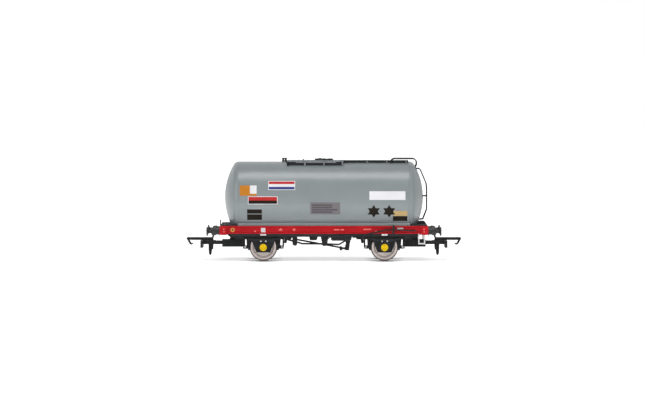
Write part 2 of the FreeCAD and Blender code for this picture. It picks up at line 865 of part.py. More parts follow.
bump_half_length = 1.45
bump_height = 0.75
bump_top = solebar_bottom - 0.1
bump_block = box(axle_x - bump_half_length, axle_x + bump_half_length, rail_outer, rail_outer + 0.6,
                 bump_top - bump_height, bump_top)
export("bump_blocks", four_corners([bump_block]))

# ---------------------------------------------------------------- brakes at the wheels
shoe_thickness = 1.1
shoe_inner_y = wheel_back + flange_width + 0.25
shoe_outer_y = wheel_face - 0.15
shoe_low_angle = -13
shoe_high_angle = 32
hanger_inner_y = shoe_inner_y + 0.4
hanger_outer_y = shoe_outer_y - 0.4
loop_reach = 9.75
loop_thickness = 0.6
beam_radius = 0.45
beam_z = wheel_z - 0.6


def brake_shoe():
    """Curved block that follows the tread, on the +X side of the wheel."""
    inner = tread_radius + shoe_gap
    outer = inner + shoe_thickness
    ring = rod((0, shoe_inner_y, 0), (0, shoe_outer_y, 0), outer)
    ring = ring.cut(rod((0, shoe_inner_y, 0), (0, shoe_outer_y, 0), inner))
    reach = 3 * outer
    low = math.radians(shoe_low_angle)
    high = math.radians(shoe_high_angle)
    wedge = plate([(0, 0), (reach * math.cos(low), reach * math.sin(low)),
                   (reach * math.cos(high), reach * math.sin(high))], shoe_inner_y, shoe_outer_y)
    return moved(ring.common(wedge), axle_x, 0, wheel_z)


def brake_hanger():
    """Hanger behind the shoe with its safety loop."""
    shoe_back = tread_radius + shoe_gap + shoe_thickness
    hanger = strap([(shoe_back - 0.1, wheel_z - 0.7), (shoe_back + 0.35, floor_bottom)], 0.9,
                   hanger_inner_y, hanger_outer_y)
    loop = strap([(shoe_back - 0.2, beam_z), (loop_reach, beam_z), (loop_reach, floor_bottom)],
                 loop_thickness, hanger_inner_y + 0.1, hanger_outer_y - 0.1)
    return moved(join([hanger, loop]), axle_x, 0, 0).cut([brake_shoe(), floor])


def each_side_of_wheel(solid):
    return [solid, solid.mirror(Vector(axle_x, 0, 0), X_AXIS)]


export("brake_shoes", four_corners(each_side_of_wheel(brake_shoe())))
export("brake_hangers", four_corners(each_side_of_wheel(brake_hanger())))


def brake_beams():
    """Cross rods between the hangers of the two wheels of an axle."""
    x = axle_x + tread_radius + shoe_gap + shoe_thickness + 0.6
    beam = rod((x, -hanger_inner_y, beam_z), (x, hanger_inner_y, beam_z), beam_radius)
    beams = each_side_of_wheel(beam)
    return beams + [mirror_x(solid) for solid in beams]


export("brake_beams", brake_beams())

# ---------------------------------------------------------------- brake gear amidships
shaft_x = 0.45
shaft_z = wheel_z + 3.0
shaft_radius = 0.55
v_hanger_thickness = 0.3
v_hanger_bottom = wheel_z + 0.6
lever_inner = frame_side + lever_gap
lever_thickness = 0.5
lever_outer = lever_inner + lever_thickness
lever_depth = 0.65
lever_eye_radius = 0.95
# distance from the shaft, height above it
lever_points = [(0, 0), (2.4, 2.1), (20.5, 3.4), (30.2, 5.6), (34.7, 5.75), (45.4, 5.2)]
guard_strip_x = 33.4          # from the shaft
guard_strip_width = 1.0
guard_strip_thickness = 0.4
guard_strip_foot = 0.45
guard_strip_rise = 0.4        # above the solebar


def cross_shaft(x, z, half_length, radius):
    return rod((x, -half_length, z), (x, half_length, z), radius)


shaft = cross_shaft(shaft_x, shaft_z, lever_outer, shaft_radius)


def v_hanger():
    """Tapered hanger at +Y below the floor, for the cross shaft."""
    outline = [(shaft_x - 2.0, floor_bottom), (shaft_x + 1.8, floor_bottom),
               (shaft_x + 1.1, v_hanger_bottom + 0.3), (shaft_x + 0.5, v_hanger_bottom),
               (shaft_x - 0.7, v_hanger_bottom), (shaft_x - 1.2, v_hanger_bottom + 0.3)]
    hanger = plate(outline, guard_outer - v_hanger_thickness, guard_outer)
    return hanger.cut([shaft, floor])


def hand_lever():
    """Long lever at +Y, from its eye on the shaft to a handle near the ladder end."""
    path = [(shaft_x + along, shaft_z + up) for along, up in lever_points]
    bar = strap(path, lever_depth, lever_inner, lever_outer)
    eye = rod((shaft_x, lever_inner, shaft_z), (shaft_x, lever_outer, shaft_z), lever_eye_radius)
    return join([bar, eye]).cut(shaft)


def lever_guard():
    """Strip at +Y that keeps the lever in: it stands off the solebar on a foot."""
    inner = lever_outer + 0.1
    outer = inner + guard_strip_thickness
    top = solebar_top + guard_strip_rise
    section = [(frame_side, solebar_bottom), (outer, solebar_bottom), (outer, top), (inner, top),
               (inner, solebar_bottom + guard_strip_foot),
               (frame_side, solebar_bottom + guard_strip_foot)]
    spots = [Vector(shaft_x + guard_strip_x, y, z) for y, z in section]
    face = Part.Face(Part.makePolygon(spots + spots[:1]))
    return face.extrude(Vector(guard_strip_width, 0, 0))


export("v_hangers", both_sides([v_hanger()]))
export("hand_levers", both_sides([hand_lever()]))
export("lever_guards", both_sides([lever_guard()]))

end_shaft_offset = 10.9       # from an axle towards the middle
end_shaft_z = wheel_z + 2.45
end_shaft_radius = 0.7
gear_inner = 5.6
gear_outer = 6.4
gear_y = (gear_inner + gear_outer) / 2
rod_radius = 0.42
# hanger and lever outlines: distance from the middle of the wagon, height above the axles
gear_hanger = [(-15.7, 5.1), (-13.2, 5.1), (-13.2, 1.2), (-13.8, 0.4), (-15.0, 0.4), (-15.6, 1.2)]
gear_lever = [(10.0, 5.1), (14.2, 5.1), (13.2, 3.2), (12.9, 1.5), (12.5, -1.9), (10.8, -1.9),
              (10.2, -1.4), (9.2, -1.4), (8.8, -2.0), (8.1, -2.0), (7.7, -1.2), (7.9, 0.1),
              (8.8, 0.1), (9.1, -0.4), (10.4, -0.4), (10.9, 1.5)]
link_rod = [(-13.2, 2.2), (-10.9, 1.4), (-0.9, 1.3), (7.5, 1.0), (10.9, 3.0)]


def over_axles(points):
    return [(x, wheel_z + up) for x, up in points]


def end_shaft(side):
    """Cross shaft beside a wheelset, on brackets below the floor."""
    x = side * (axle_x - end_shaft_offset)
    bar = cross_shaft(x, end_shaft_z, gear_outer + 3, end_shaft_radius)
    arms = []
    for y in (gear_outer + 1.6, gear_inner - 0.4):
        arms.append(plate([(x - 0.7, floor_bottom), (x + 0.7, floor_bottom), (x + 0.45, end_shaft_z),
                           (x - 0.45, end_shaft_z)], y, y + 0.6))
    return join([bar] + both_sides(arms)).cut(floor)


def rigging():
    """Hanger, bent lever and the two rods between them, below the floor on the near side."""
    hanger = plate(over_axles(gear_hanger), -gear_outer, -gear_inner)
    lever = plate(over_axles(gear_lever), -gear_outer, -gear_inner)
    straight = rod((-13.6, -gear_y, wheel_z + 3.5), (9.2, -gear_y, wheel_z - 0.7), rod_radius)
    bent = wire(over_axles(link_rod), -gear_y, rod_radius, 1.0)
    arm = rod((end_shaft_offset - axle_x, -gear_y, wheel_z + 3.8),
              (-14.2, -gear_y, wheel_z + 2.3), 0.45)
    return join([hanger, lever, straight, bent, arm]).cut(floor)


end_shafts = [end_shaft(side) for side in (-1, 1)]
export("brake_shaft", [shaft] + end_shafts)
export("brake_rigging", rigging().cut(end_shafts))

under_floor = box(-frame_end, frame_end, -frame_side, frame_side, 0, floor_bottom).cut(floor)
reservoir_radius = 2.15
reservoir_y = -8.8
reservoir_start = 3.5
reservoir_end = 13.7


def air_reservoir():
    """Drum slung under the floor, on the near side."""
    shoulder = reservoir_radius * 0.7
    profile = [(reservoir_start, 0), (reservoir_start, shoulder),
               (reservoir_start + 0.6, reservoir_radius), (reservoir_end - 0.6, reservoir_radius),
               (reservoir_end, shoulder), (reservoir_end, 0)]
    return moved(turned(profile, X_AXIS), 0, reservoir_y, floor_bottom).common(under_floor)


export("air_reservoir", air_reservoir())

valve_outline = [(-7.3, 5.1), (-3.0, 5.1), (-3.6, 3.3), (-6.8, 3.3), (-7.1, 3.9)]
valve_inner = gear_outer + 0.4
valve_outer = valve_inner + 3.6
valve_box = plate(over_axles(valve_outline), -valve_outer, -valve_inner)
export("valve_box", valve_box.cut(floor))

cylinder_y = 2.2
# distance along, radius
cylinder_profile = [(11.4, 0), (11.4, 1.7), (6.6, 1.7), (6.6, 2.1), (6.0, 2.1), (6.0, 1.2),
                    (5.4, 0.9), (5.4, 0)]


def brake_cylinder():
    """Cylinder under the floor, with a flange and a nose."""
    whole = moved(turned(cylinder_profile, X_AXIS), 0, cylinder_y, floor_bottom)
    return whole.common(under_floor)


export("brake_cylinder", brake_cylinder())

# ---------------------------------------------------------------- couplings
pocket_end = frame_end - 1.0
pocket_length = 10.3
pocket_bottom = rail_bottom - 5.7
pocket_top = rail_bottom - 2.1
pocket_half_width = 2.7
socket_depth = 4.6
stem_half_width = 1.8
shank_half_width = 1.6
shank_bottom = pocket_bottom + 1.2
shank_top = pocket_top - 0.65
pivot_x = frame_end + 4.3
slot_start = pivot_x - 2.0
cheek_end = pivot_x + 4.2
bar_front = cheek_end + 1.2
bar_half_width = 7.6
bar_bottom = pocket_bottom - 0.3
bar_top = bar_bottom + 3.45
hook_half_thickness = 0.5
pivot_z = shank_bottom + 1.2
pivot_radius = 0.45
hook_lift = 0.1               # hook bar above the buffing bar at rest


def coupling_pocket():
    """Standard socket on a stem below the end of the floor."""
    start = pocket_end - pocket_length
    socket_start = pocket_end - socket_depth
    block = box(start, pocket_end, -pocket_half_width, pocket_half_width, pocket_bottom, pocket_top)
    stem = plate([(start, pocket_top), (pocket_end - 3.6, pocket_top), (rail_end, floor_bottom),
                  (start, floor_bottom)], -stem_half_width, stem_half_width)
    gap = pocket_clearance
    socket = box(socket_start, pocket_end + 1, -shank_half_width - gap, shank_half_width + gap,
                 shank_bottom, shank_top + gap)
    window = box(socket_start + 1.4, socket_start + 3.0, -pocket_half_width - 1,
                 pocket_half_width + 1, shank_bottom + 0.5, shank_top - 0.5)
    return join([block, stem]).cut([socket, window])


def coupling_bar():
    """Shank, two cheeks for the hook, and the wide buffing bar."""
    shank = box(pocket_end - socket_depth, cheek_end, -shank_half_width, shank_half_width,
                shank_bottom, shank_top)
    slot_half = hook_half_thickness + hook_side_clearance
    slot = box(slot_start, cheek_end, -slot_half, slot_half, shank_bottom - 1, bar_top + 1)
    raised = box(slot_start, cheek_end, -shank_half_width, shank_half_width, shank_top, bar_top)
    bore = rod((pivot_x, -shank_half_width - 1, pivot_z), (pivot_x, shank_half_width + 1, pivot_z),
               pivot_radius + running_clearance)
    bar = box(cheek_end, bar_front, -bar_half_width, bar_half_width, bar_bottom, bar_top)
    return join([join([shank, raised]).cut([slot, bore]), bar])


under_bar = bar_top + hook_lift - pivot_z
# hook outline: distance out from the pivot, height above it
hook_outline = [(-0.9, -1.0), (-0.9, 1.2), (-0.4, 2.25), (12.1, 2.25), (12.6, 1.7), (11.1, -1.0),
                (10.5, -1.5), (9.9, -1.45), (9.15, -0.95), (9.3, -0.45), (10.1, -0.8),
                (10.35, -0.4), (10.95, under_bar), (1.6, under_bar), (1.55, -3.8), (1.35, -6.1),
                (1.0, -6.6), (0.4, -6.6), (0.1, -6.1), (-0.1, -4.2), (-0.75, -3.4)]


def coupling_hook():
    """Hinged hook: bar, barbed nose, and the dropper that lifts it over a ramp."""
    outline = [(pivot_x + along, pivot_z + up) for along, up in hook_outline]
    body = plate(outline, -hook_half_thickness, hook_half_thickness)
    pin = rod((pivot_x, -shank_half_width, pivot_z), (pivot_x, shank_half_width, pivot_z),
              pivot_radius)
    return join([body, pin])


for end in ENDS:
    export("coupling_pocket_" + end, at_end(coupling_pocket(), end))
    export("coupling_bar_" + end, at_end(coupling_bar(), end))
    export("coupling_hook_" + end, at_end(coupling_hook(), end))

# ---------------------------------------------------------------- wheelsets
def axle():
    """Plain axle with a pinpoint at each end."""
    half_axle = axle_length / 2
    cone_start = half_axle - axle_cone_length
    profile = [(-half_axle, 0), (-half_axle, axle_tip_radius), (-cone_start, axle_radius),
               (cone_start, axle_radius), (half_axle, axle_tip_radius), (half_axle, 0)]
    return moved(turned(profile, Y_AXIS), axle_x, 0, wheel_z)


def wheel():
    """Flanged disc wheel at +Y with a tyre rim, a dished web and a hub."""
    profile = [(wheel_back, axle_radius), (wheel_back, flange_radius - 0.35),
               (wheel_back + 0.2, flange_radius), (wheel_back + 0.45, flange_radius),
               (wheel_back + flange_width, tread_radius + 0.25),
               (wheel_back + flange_width + 0.25, tread_radius),
               (wheel_face, tread_radius - 0.05), (wheel_face, 5.35), (wheel_face - 0.55, 5.15),
               (wheel_face - 0.55, 2.5), (wheel_face - 0.1, 2.2), (wheel_face - 0.1, axle_radius)]
    return moved(turned(profile, Y_AXIS), axle_x, 0, wheel_z)


for end in ENDS:
    export("axle_" + end, at_end(axle(), end))
    for side in SIDES:
        made = wheel() if SIDES[side] > 0 else mirror_y(wheel())
        export("wheel_" + end + "_" + side, at_end(made, end))
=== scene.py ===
# %% [markdown]
# # Railway tank car, OO gauge
# This lesson dresses a small model tank wagon. What is left is what makes a model look like itself: satin
# paint, turned metal, moulded plastic, rivets, bolts, treads, and the coloured panels printed on the tank.

# %% Load the frame
import json
import math
import bpy
import bmesh
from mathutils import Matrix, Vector


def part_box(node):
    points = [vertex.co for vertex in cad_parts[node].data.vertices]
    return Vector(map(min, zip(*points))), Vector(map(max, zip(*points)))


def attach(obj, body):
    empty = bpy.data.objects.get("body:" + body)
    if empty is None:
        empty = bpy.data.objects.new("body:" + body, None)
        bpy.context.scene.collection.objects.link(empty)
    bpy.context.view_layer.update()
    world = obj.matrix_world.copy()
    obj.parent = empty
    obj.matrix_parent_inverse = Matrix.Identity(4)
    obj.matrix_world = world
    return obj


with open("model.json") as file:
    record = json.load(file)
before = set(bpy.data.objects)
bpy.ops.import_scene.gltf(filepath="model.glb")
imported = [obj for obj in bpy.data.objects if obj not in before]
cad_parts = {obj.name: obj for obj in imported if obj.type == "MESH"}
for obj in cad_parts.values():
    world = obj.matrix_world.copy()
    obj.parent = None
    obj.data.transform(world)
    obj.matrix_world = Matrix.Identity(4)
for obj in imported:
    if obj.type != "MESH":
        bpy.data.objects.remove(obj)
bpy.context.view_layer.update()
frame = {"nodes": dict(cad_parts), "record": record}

MM = 0.001
record = frame["record"]


# %% [markdown]
# ## Camera
# A small model looks its best from far off through a long lens, because that keeps the near wheels and the
# far wheels almost the same size. The camera stands square to the side of the wagon and looks down by only two
# or three degrees, so the walkway on top is seen almost edge on.

# %% Camera
VIEW_DISTANCE = 1.70
VIEW_HEIGHT = 0.100
AIM = Vector((-0.0007, 0.0, 0.0291))
LENS = 190.6

camera_data = bpy.data.cameras.new("camera")
camera_data.lens = LENS
camera_data.sensor_width = 36.0
camera = bpy.data.objects.new("camera", camera_data)
bpy.context.scene.collection.objects.link(camera)
camera.location = Vector((AIM.x, AIM.y - VIEW_DISTANCE, VIEW_HEIGHT))
camera.rotation_euler = (AIM - camera.location).to_track_quat("-Z", "Y").to_euler()
bpy.context.scene.camera = camera
bpy.context.scene.view_settings.view_transform = "Standard"
print("camera elevation", round(math.degrees(math.atan2(VIEW_HEIGHT - AIM.z, VIEW_DISTANCE)), 2))


# %% [markdown]
# ## Node helpers
# Each finish is a small node tree. A helper that adds a node and sets its inputs by name keeps the recipes
# below short enough to read as recipes. The same helper works in Geometry Nodes trees.

# %% Node helpers
def add(tree, kind, settings=None, **inputs):
    """Add a node, set its properties, then set or link its inputs: i0 and i1 are inputs by number."""
    node = tree.nodes.new(kind)
    for key, value in (settings or {}).items():
        setattr(node, key, value)
    for key, value in inputs.items():
        numbered = key[0] == "i" and key[1:].isdigit()
        socket = node.inputs[int(key[1:]) if numbered else key.replace("_", " ")]
        if isinstance(value, bpy.types.NodeSocket):
            tree.links.new(value, socket)
        else:
            socket.default_value = value
    return node


def new_material(name):
    """Material with a Principled shader, and the tree to add to."""
    material = bpy.data.materials.new(name)
    material.use_nodes = True
    return material, material.node_tree, material.node_tree.nodes["Principled BSDF"]


def place(tree):
    """Object coordinates, in metres."""
    return add(tree, "ShaderNodeTexCoord").outputs["Object"]


def math_node(tree, operation, first, second=0.0):
    """Arithmetic on two numbers, each a value or a socket."""
    return add(tree, "ShaderNodeMath", {"operation": operation}, i0=first, i1=second).outputs[0]


def noise(tree, scale, detail=3.0):
    """Noise whose scale is in lumps per metre."""
    return add(tree, "ShaderNodeTexNoise", Vector=place(tree), Scale=scale, Detail=detail).outputs["Fac"]


def remap(tree, value, low, high, out_low, out_high):
    """Stretch a value from one range to another, held at both ends."""
    return add(tree, "ShaderNodeMapRange", {"clamp": True}, Value=value, From_Min=low, From_Max=high,
               To_Min=out_low, To_Max=out_high).outputs["Result"]


def mixed(tree, factor, first, second):
    """Blend of two colours, each a colour or a socket."""
    colours = []
    for value in (first, second):
        colours.append(value if isinstance(value, bpy.types.NodeSocket) else (*value, 1))
    mix = add(tree, "ShaderNodeMix", {"data_type": "RGBA"}, i0=factor, i6=colours[0], i7=colours[1])
    return mix.outputs[2]


# %% [markdown]
# ## Soft edges, wear and painted edge highlights
# A moulded or painted edge is never perfectly sharp, and it's the thin bright line along it that makes a
# small model look solid. A Bevel node gives the softened direction of the surface near an edge. How far that
# leans from the true direction says how close the edge is. There the colour is made paler. That is partly wear
# from handling and partly a painted highlight standing in for the bright line.

# %% Soft edges, wear and painted edge highlights
EDGE_RADIUS = 0.14 * MM
LEAN_NONE = 0.99        # cosine of the lean at which a surface counts as flat
LEAN_FULL = 0.80        # and at which it counts as an edge


def soft_edges(tree):
    """Surface direction that turns smoothly over sharp edges."""
    return add(tree, "ShaderNodeBevel", {"samples": 4}, Radius=EDGE_RADIUS).outputs["Normal"]


def edge_mask(tree, softened):
    """One along the edges and nothing on the flats."""
    true_normal = add(tree, "ShaderNodeNewGeometry").outputs["Normal"]
    lean = add(tree, "ShaderNodeVectorMath", {"operation": "DOT_PRODUCT"}, i0=softened, i1=true_normal)
    return remap(tree, lean.outputs["Value"], LEAN_NONE, LEAN_FULL, 0, 1)


def relief(tree, shader, height, distance, softened):
    """Bump on top of the softened edges."""
    node = add(tree, "ShaderNodeBump", Height=height, Distance=distance, Strength=1.0, Normal=softened)
    tree.links.new(node.outputs["Normal"], shader.inputs["Normal"])


print("edge radius", EDGE_RADIUS, "m")


# %% [markdown]
# ## Satin paint
# The tank and the frame are sprayed. Spray lays down a skin that is almost smooth, with a slight orange peel
# that only shows where a highlight crosses it, and the sheen changes a little from place to place. So the
# colour hardly varies, the roughness varies more, and a very fine noise lifts the surface by a few microns.

# %% Satin paint
def satin_paint(name, colour, roughness=0.4, spread=0.05, peel=0.004, gloss=0.5, wear_and_highlight=0.15, uneven=0.045):
    """Sprayed paint: even colour, uneven sheen, fine orange peel in millimetres, and paler edges, part wear
    and part painted highlight.
    """
    material, tree, shader = new_material(name)
    dark = [channel * (1 - spread) for channel in colour]
    light = [min(1.0, channel * (1 + spread)) for channel in colour]
    # Paler edge colour: partly wear, partly a painted highlight where light catches the edge.
    worn_lit_colour = [min(1.0, channel * 1.15 + 0.03) for channel in colour]
    softened = soft_edges(tree)
    tone = mixed(tree, remap(tree, noise(tree, 90.0), 0.35, 0.65, 0, 1), dark, light)
    worn_lit_edge = math_node(tree, "MULTIPLY", edge_mask(tree, softened), wear_and_highlight)
    tree.links.new(mixed(tree, worn_lit_edge, tone, worn_lit_colour), shader.inputs["Base Color"])
    sheen = remap(tree, noise(tree, 400.0), 0.3, 0.7, roughness - uneven, roughness + uneven)
    tree.links.new(sheen, shader.inputs["Roughness"])
    shader.inputs["Specular IOR Level"].default_value = gloss
    relief(tree, shader, noise(tree, 2600.0, 2.0), peel * MM, softened)
    return material


# %% [markdown]
# The colours are the paints' own, as linear red, green and blue from 0 to 1. The tank has the smoothest skin
# of all, because it's big and round and every lump would break its one long highlight. The buffers are black,
# and a little paler on their rims, which is a painted highlight along the edge.

# %% Paint colours
TANK_GREY = (0.245, 0.278, 0.288)
FRAME_RED = (0.54, 0.013, 0.020)
FITTING_GREY = (0.20, 0.21, 0.22)
WHITE = (0.80, 0.80, 0.79)
CAP_YELLOW = (0.99, 0.66, 0.005)
BUFFER_BLACK = (0.013, 0.014, 0.015)

finishes = {
    "tank_paint": satin_paint("tank satin grey", TANK_GREY, 0.31, 0.03, peel=0.001, wear_and_highlight=0.0, uneven=0.015),
    "frame_red": satin_paint("frame red", FRAME_RED, 0.45, 0.08, gloss=0.12, wear_and_highlight=0.35),
    "fitting_grey": satin_paint("fitting grey", FITTING_GREY, 0.5),
    "white_paint": satin_paint("white paint", WHITE, 0.45, 0.02),
    "cap_yellow": satin_paint("axle cap yellow", CAP_YELLOW, 0.35, gloss=0.15, wear_and_highlight=0.0),
    "buffer_steel": satin_paint("buffer black", BUFFER_BLACK, 0.35, gloss=0.35, wear_and_highlight=0.5),
}
print("paints", len(finishes))


# %% [markdown]
# ## Moulded plastic
# The underframe is bare moulded plastic. Light catches its texture, so it reads as a very dark grey and not
# as black, with a faint dusting in random patches, and paler edges that are part polish from fingers and part
# painted highlight.

# %% Moulded plastic
def moulded_plastic(name, colour, roughness=0.6, wear_and_highlight=0.5, gloss=0.2):
    """Matt plastic with a fine spark-eroded grain."""
    material, tree, shader = new_material(name)
    shader.inputs["Specular IOR Level"].default_value = gloss
    softened = soft_edges(tree)
    dusty = [channel * 1.7 + 0.006 for channel in colour]
    # Paler edges: part polish from handling, part painted highlight.
    polished_lit_colour = [channel * 2.4 + 0.02 for channel in colour]
    tone = mixed(tree, remap(tree, noise(tree, 300.0, 5.0), 0.4, 0.75, 0, 1), colour, dusty)
    worn_lit_edge = math_node(tree, "MULTIPLY", edge_mask(tree, softened), wear_and_highlight)
    tree.links.new(mixed(tree, worn_lit_edge, tone, polished_lit_colour), shader.inputs["Base Color"])
    sheen = remap(tree, noise(tree, 900.0), 0.3, 0.7, roughness - 0.06, roughness + 0.08)
    tree.links.new(sheen, shader.inputs["Roughness"])
    relief(tree, shader, noise(tree, 5200.0, 2.0), 0.012 * MM, softened)
    return material


finishes["underframe_black"] = moulded_plastic("underframe black", (0.011, 0.012, 0.013), 0.55)
finishes["coupling_black"] = moulded_plastic("coupling black", (0.007, 0.007, 0.008), 0.45)
finishes["deck_dark"] = moulded_plastic("deck grey", (0.020, 0.024, 0.026), 0.6)


# %% [markdown]
# ## Turned metal
# The wheels are turned on a lathe, and the tool leaves rings round the axle. The rings are a wave of the
# distance from the axle line, and both axles share one tree, because X is measured from the nearer axle.
# The line where the tyre meets the disc and the flange behind the tread are painted darker. This is painted
# shade in the groove and on the flange, which the tread keeps in shadow.

# %% Turned metal
axle_low, axle_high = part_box("axle_right")
AXLE_X = (axle_low[0] + axle_high[0]) / 2
AXLE_Z = (axle_low[2] + axle_high[2]) / 2
RING_PITCH = 0.16 * MM
GROOVE_RADIUS = 4.75 * MM       # where the tyre meets the disc
TREAD_RADIUS = 6.3 * MM
# Painted shade: how dark the groove and the flange are painted.
PAINTED_SHADE_TONE = 0.28


def turned_metal(name, colour, roughness, metallic=1.0):
    """Metal with lathe rings round the nearer axle."""
    material, tree, shader = new_material(name)
    spot = add(tree, "ShaderNodeSeparateXYZ", Vector=place(tree)).outputs
    along = math_node(tree, "SUBTRACT", math_node(tree, "ABSOLUTE", spot["X"]), AXLE_X)
    up = math_node(tree, "SUBTRACT", spot["Z"], AXLE_Z)
    square = math_node(tree, "ADD", math_node(tree, "MULTIPLY", along, along),
                       math_node(tree, "MULTIPLY", up, up))
    radius = math_node(tree, "SQRT", square)
    turns = math_node(tree, "MULTIPLY", radius, 2 * math.pi / RING_PITCH)
    rings = math_node(tree, "SINE", turns)
    smeared = [channel * 0.82 for channel in colour]
    painted_shade_colour = [channel * PAINTED_SHADE_TONE for channel in colour]
    tone = mixed(tree, remap(tree, noise(tree, 350.0), 0.35, 0.7, 0, 1), colour, smeared)
    # Painted shade in the groove between tyre and disc and on the flange.
    off_groove = math_node(tree, "ABSOLUTE", math_node(tree, "SUBTRACT", radius, GROOVE_RADIUS))
    groove = remap(tree, off_groove, 0.08 * MM, 0.22 * MM, 1, 0)
    flange = remap(tree, radius, TREAD_RADIUS - 0.05 * MM, TREAD_RADIUS + 0.1 * MM, 0, 1)
    painted_shade = math_node(tree, "MAXIMUM", groove, flange)
    tree.links.new(mixed(tree, painted_shade, tone, painted_shade_colour), shader.inputs["Base Color"])
    shader.inputs["Metallic"].default_value = metallic
    tree.links.new(remap(tree, rings, -1, 1, roughness - 0.05, roughness + 0.08), shader.inputs["Roughness"])
    relief(tree, shader, rings, 0.004 * MM, soft_edges(tree))
    return material


finishes["wheel_nickel"] = turned_metal("wheel nickel", (0.58, 0.51, 0.48), 0.42, 0.6)
finishes["bearing_brass"] = turned_metal("bearing brass", (0.72, 0.52, 0.22), 0.3)
finishes["ballast_steel"] = turned_metal("ballast steel", (0.45, 0.45, 0.46), 0.4)

# %% [markdown]
# The record says which finish each piece takes. One exception is made by name: the buffer housings are black
# like the underframe, but turned smooth, so they share the buffers' paint.

# %% Finish on every CAD piece
slot_of = {part["node"]: part["material_slot"] for part in record["subparts"]}
GLOSSIER = {"buffer_housings": "buffer_steel"}
for name in frame["nodes"]:
    piece = bpy.data.objects[name]
    material = finishes[GLOSSIER.get(name, slot_of[name])]
    if piece.material_slots:
        for slot in piece.material_slots:
            slot.material = material
    else:
        piece.data.materials.append(material)
print("finished", len(slot_of), "pieces")


# %% [markdown]
# ## Floor and light
# A white sweep and soft lamps. The world is plain grey for everything the light touches, and pure white only
# where the camera, or a mirror-like surface, looks straight at it. Close to the wagon the floor is lit like
# any white card, so it keeps the shadow, and further off it glows to the white of the backdrop. Both the glow
# and the card's own white are darkened where something stands within a few millimetres. This is a painted
# contact shadow under each wheel.

# %% World
AMBIENT = 0.15
world = bpy.data.worlds.new("studio")
bpy.context.scene.world = world
world.use_nodes = True
sky = world.node_tree


def looks(tree):
    """Two sockets: one for a ray from the camera, and one for a ray off glass or a shiny surface."""
    rays = add(tree, "ShaderNodeLightPath").outputs
    shiny = math_node(tree, "MAXIMUM", rays["Is Glossy Ray"], rays["Is Transmission Ray"])
    return rays["Is Camera Ray"], shiny


background = sky.nodes["Background"]
background.inputs["Color"].default_value = (1, 1, 1, 1)
white_look = math_node(sky, "MAXIMUM", *looks(sky))
sky.links.new(remap(sky, white_look, 0, 1, AMBIENT, 1.0), background.inputs["Strength"])
print("ambient light", AMBIENT)

# %% Floor
FLOOR_SIZE = 6.0
FLOOR_WHITE = 0.93
GLOW_NEAR = 0.60
GLOW_FAR = 0.95
GLOW_START = 0.12
GLOW_END = 0.45
CONTACT_REACH = 6.0 * MM
# Power of the painted contact shadow near anything standing on the floor.
PAINTED_SHADOW_POWER = 4.0         # power that darkens the touch

half_floor = FLOOR_SIZE / 2
floor_corners = [(-half_floor, -half_floor, 0), (half_floor, -half_floor, 0),
                 (half_floor, half_floor, 0), (-half_floor, half_floor, 0)]
floor_mesh = bpy.data.meshes.new("floor")
floor_mesh.from_pydata(floor_corners, [], [(0, 1, 2, 3)])
floor = bpy.data.objects.new("floor", floor_mesh)
bpy.context.scene.collection.objects.link(floor)
floor_paint, floor_tree, floor_shader = new_material("white floor")
floor_shader.inputs["Roughness"].default_value = 0.9
away = add(floor_tree, "ShaderNodeVectorMath", {"operation": "LENGTH"}, i0=place(floor_tree)).outputs["Value"]
glow_level = remap(floor_tree, away, GLOW_START, GLOW_END, GLOW_NEAR, GLOW_FAR)
seen, shiny = looks(floor_tree)
# Painted contact shadow: ambient occlusion darkens the floor's white and its glow near things standing on it.
open_sky = add(floor_tree, "ShaderNodeAmbientOcclusion", {"samples": 8}, Distance=CONTACT_REACH).outputs["AO"]
painted_shadow_factor = math_node(floor_tree, "POWER", open_sky, PAINTED_SHADOW_POWER)
seen_glow = math_node(floor_tree, "MULTIPLY", math_node(floor_tree, "MULTIPLY", seen, glow_level), painted_shadow_factor)
card_with_painted_shadow = mixed(floor_tree, painted_shadow_factor, (0, 0, 0), [FLOOR_WHITE] * 3)
floor_tree.links.new(card_with_painted_shadow, floor_shader.inputs["Base Color"])
glow = add(floor_tree, "ShaderNodeEmission", Strength=math_node(floor_tree, "MAXIMUM", seen_glow, shiny))
both = add(floor_tree, "ShaderNodeAddShader", i0=floor_shader.outputs[0], i1=glow.outputs[0])
floor_tree.links.new(both.outputs[0], floor_tree.nodes["Material Output"].inputs["Surface"])
floor_mesh.materials.append(floor_paint)
print("floor", FLOOR_SIZE, "m square")


# %% [markdown]
# Four lamps do the rest. A big soft box stands on each side of the camera, the left one a little stronger, so
# the two ends of the tank don't look alike. A third hangs almost overhead and draws the single bright band
# along the tank, which is what tells the eye that it's a cylinder. The last looks straight down at the floor
# in front of the wagon. None of it reaches the wagon, but the white floor throws it up under the tank and
# into the running gear, which is nearly black and hard to read without it.

# %% Lamps
def lamp(name, where, size, watts, aim=(0, 0, 0.03), beam=180):
    """Rectangular soft lamp that faces a point, with the angle of its beam in degrees."""
    data = bpy.data.lights.new(name, "AREA")
    data.spread = math.radians(beam)
    data.shape = "RECTANGLE"
    data.size, data.size_y = size
    data.energy = watts
    made = bpy.data.objects.new(name, data)
    bpy.context.scene.collection.objects.link(made)
    made.location = where
    made.rotation_euler = (Vector(aim) - Vector(where)).to_track_quat("-Z", "Y").to_euler()


WASH_Y = -0.066
lamp("left box", (-1.3, -1.3, 0.6), (1.0, 1.0), 9.2)
lamp("right box", (1.3, -1.3, 0.6), (1.0, 1.0), 6.0)
lamp("overhead box", (0.0, -0.26, 1.02), (0.5, 0.45), 4.3)
lamp("floor wash", (0.0, WASH_Y, 0.6), (1.2, 0.03), 0.25, aim=(0.0, WASH_Y, 0.0), beam=5.5)

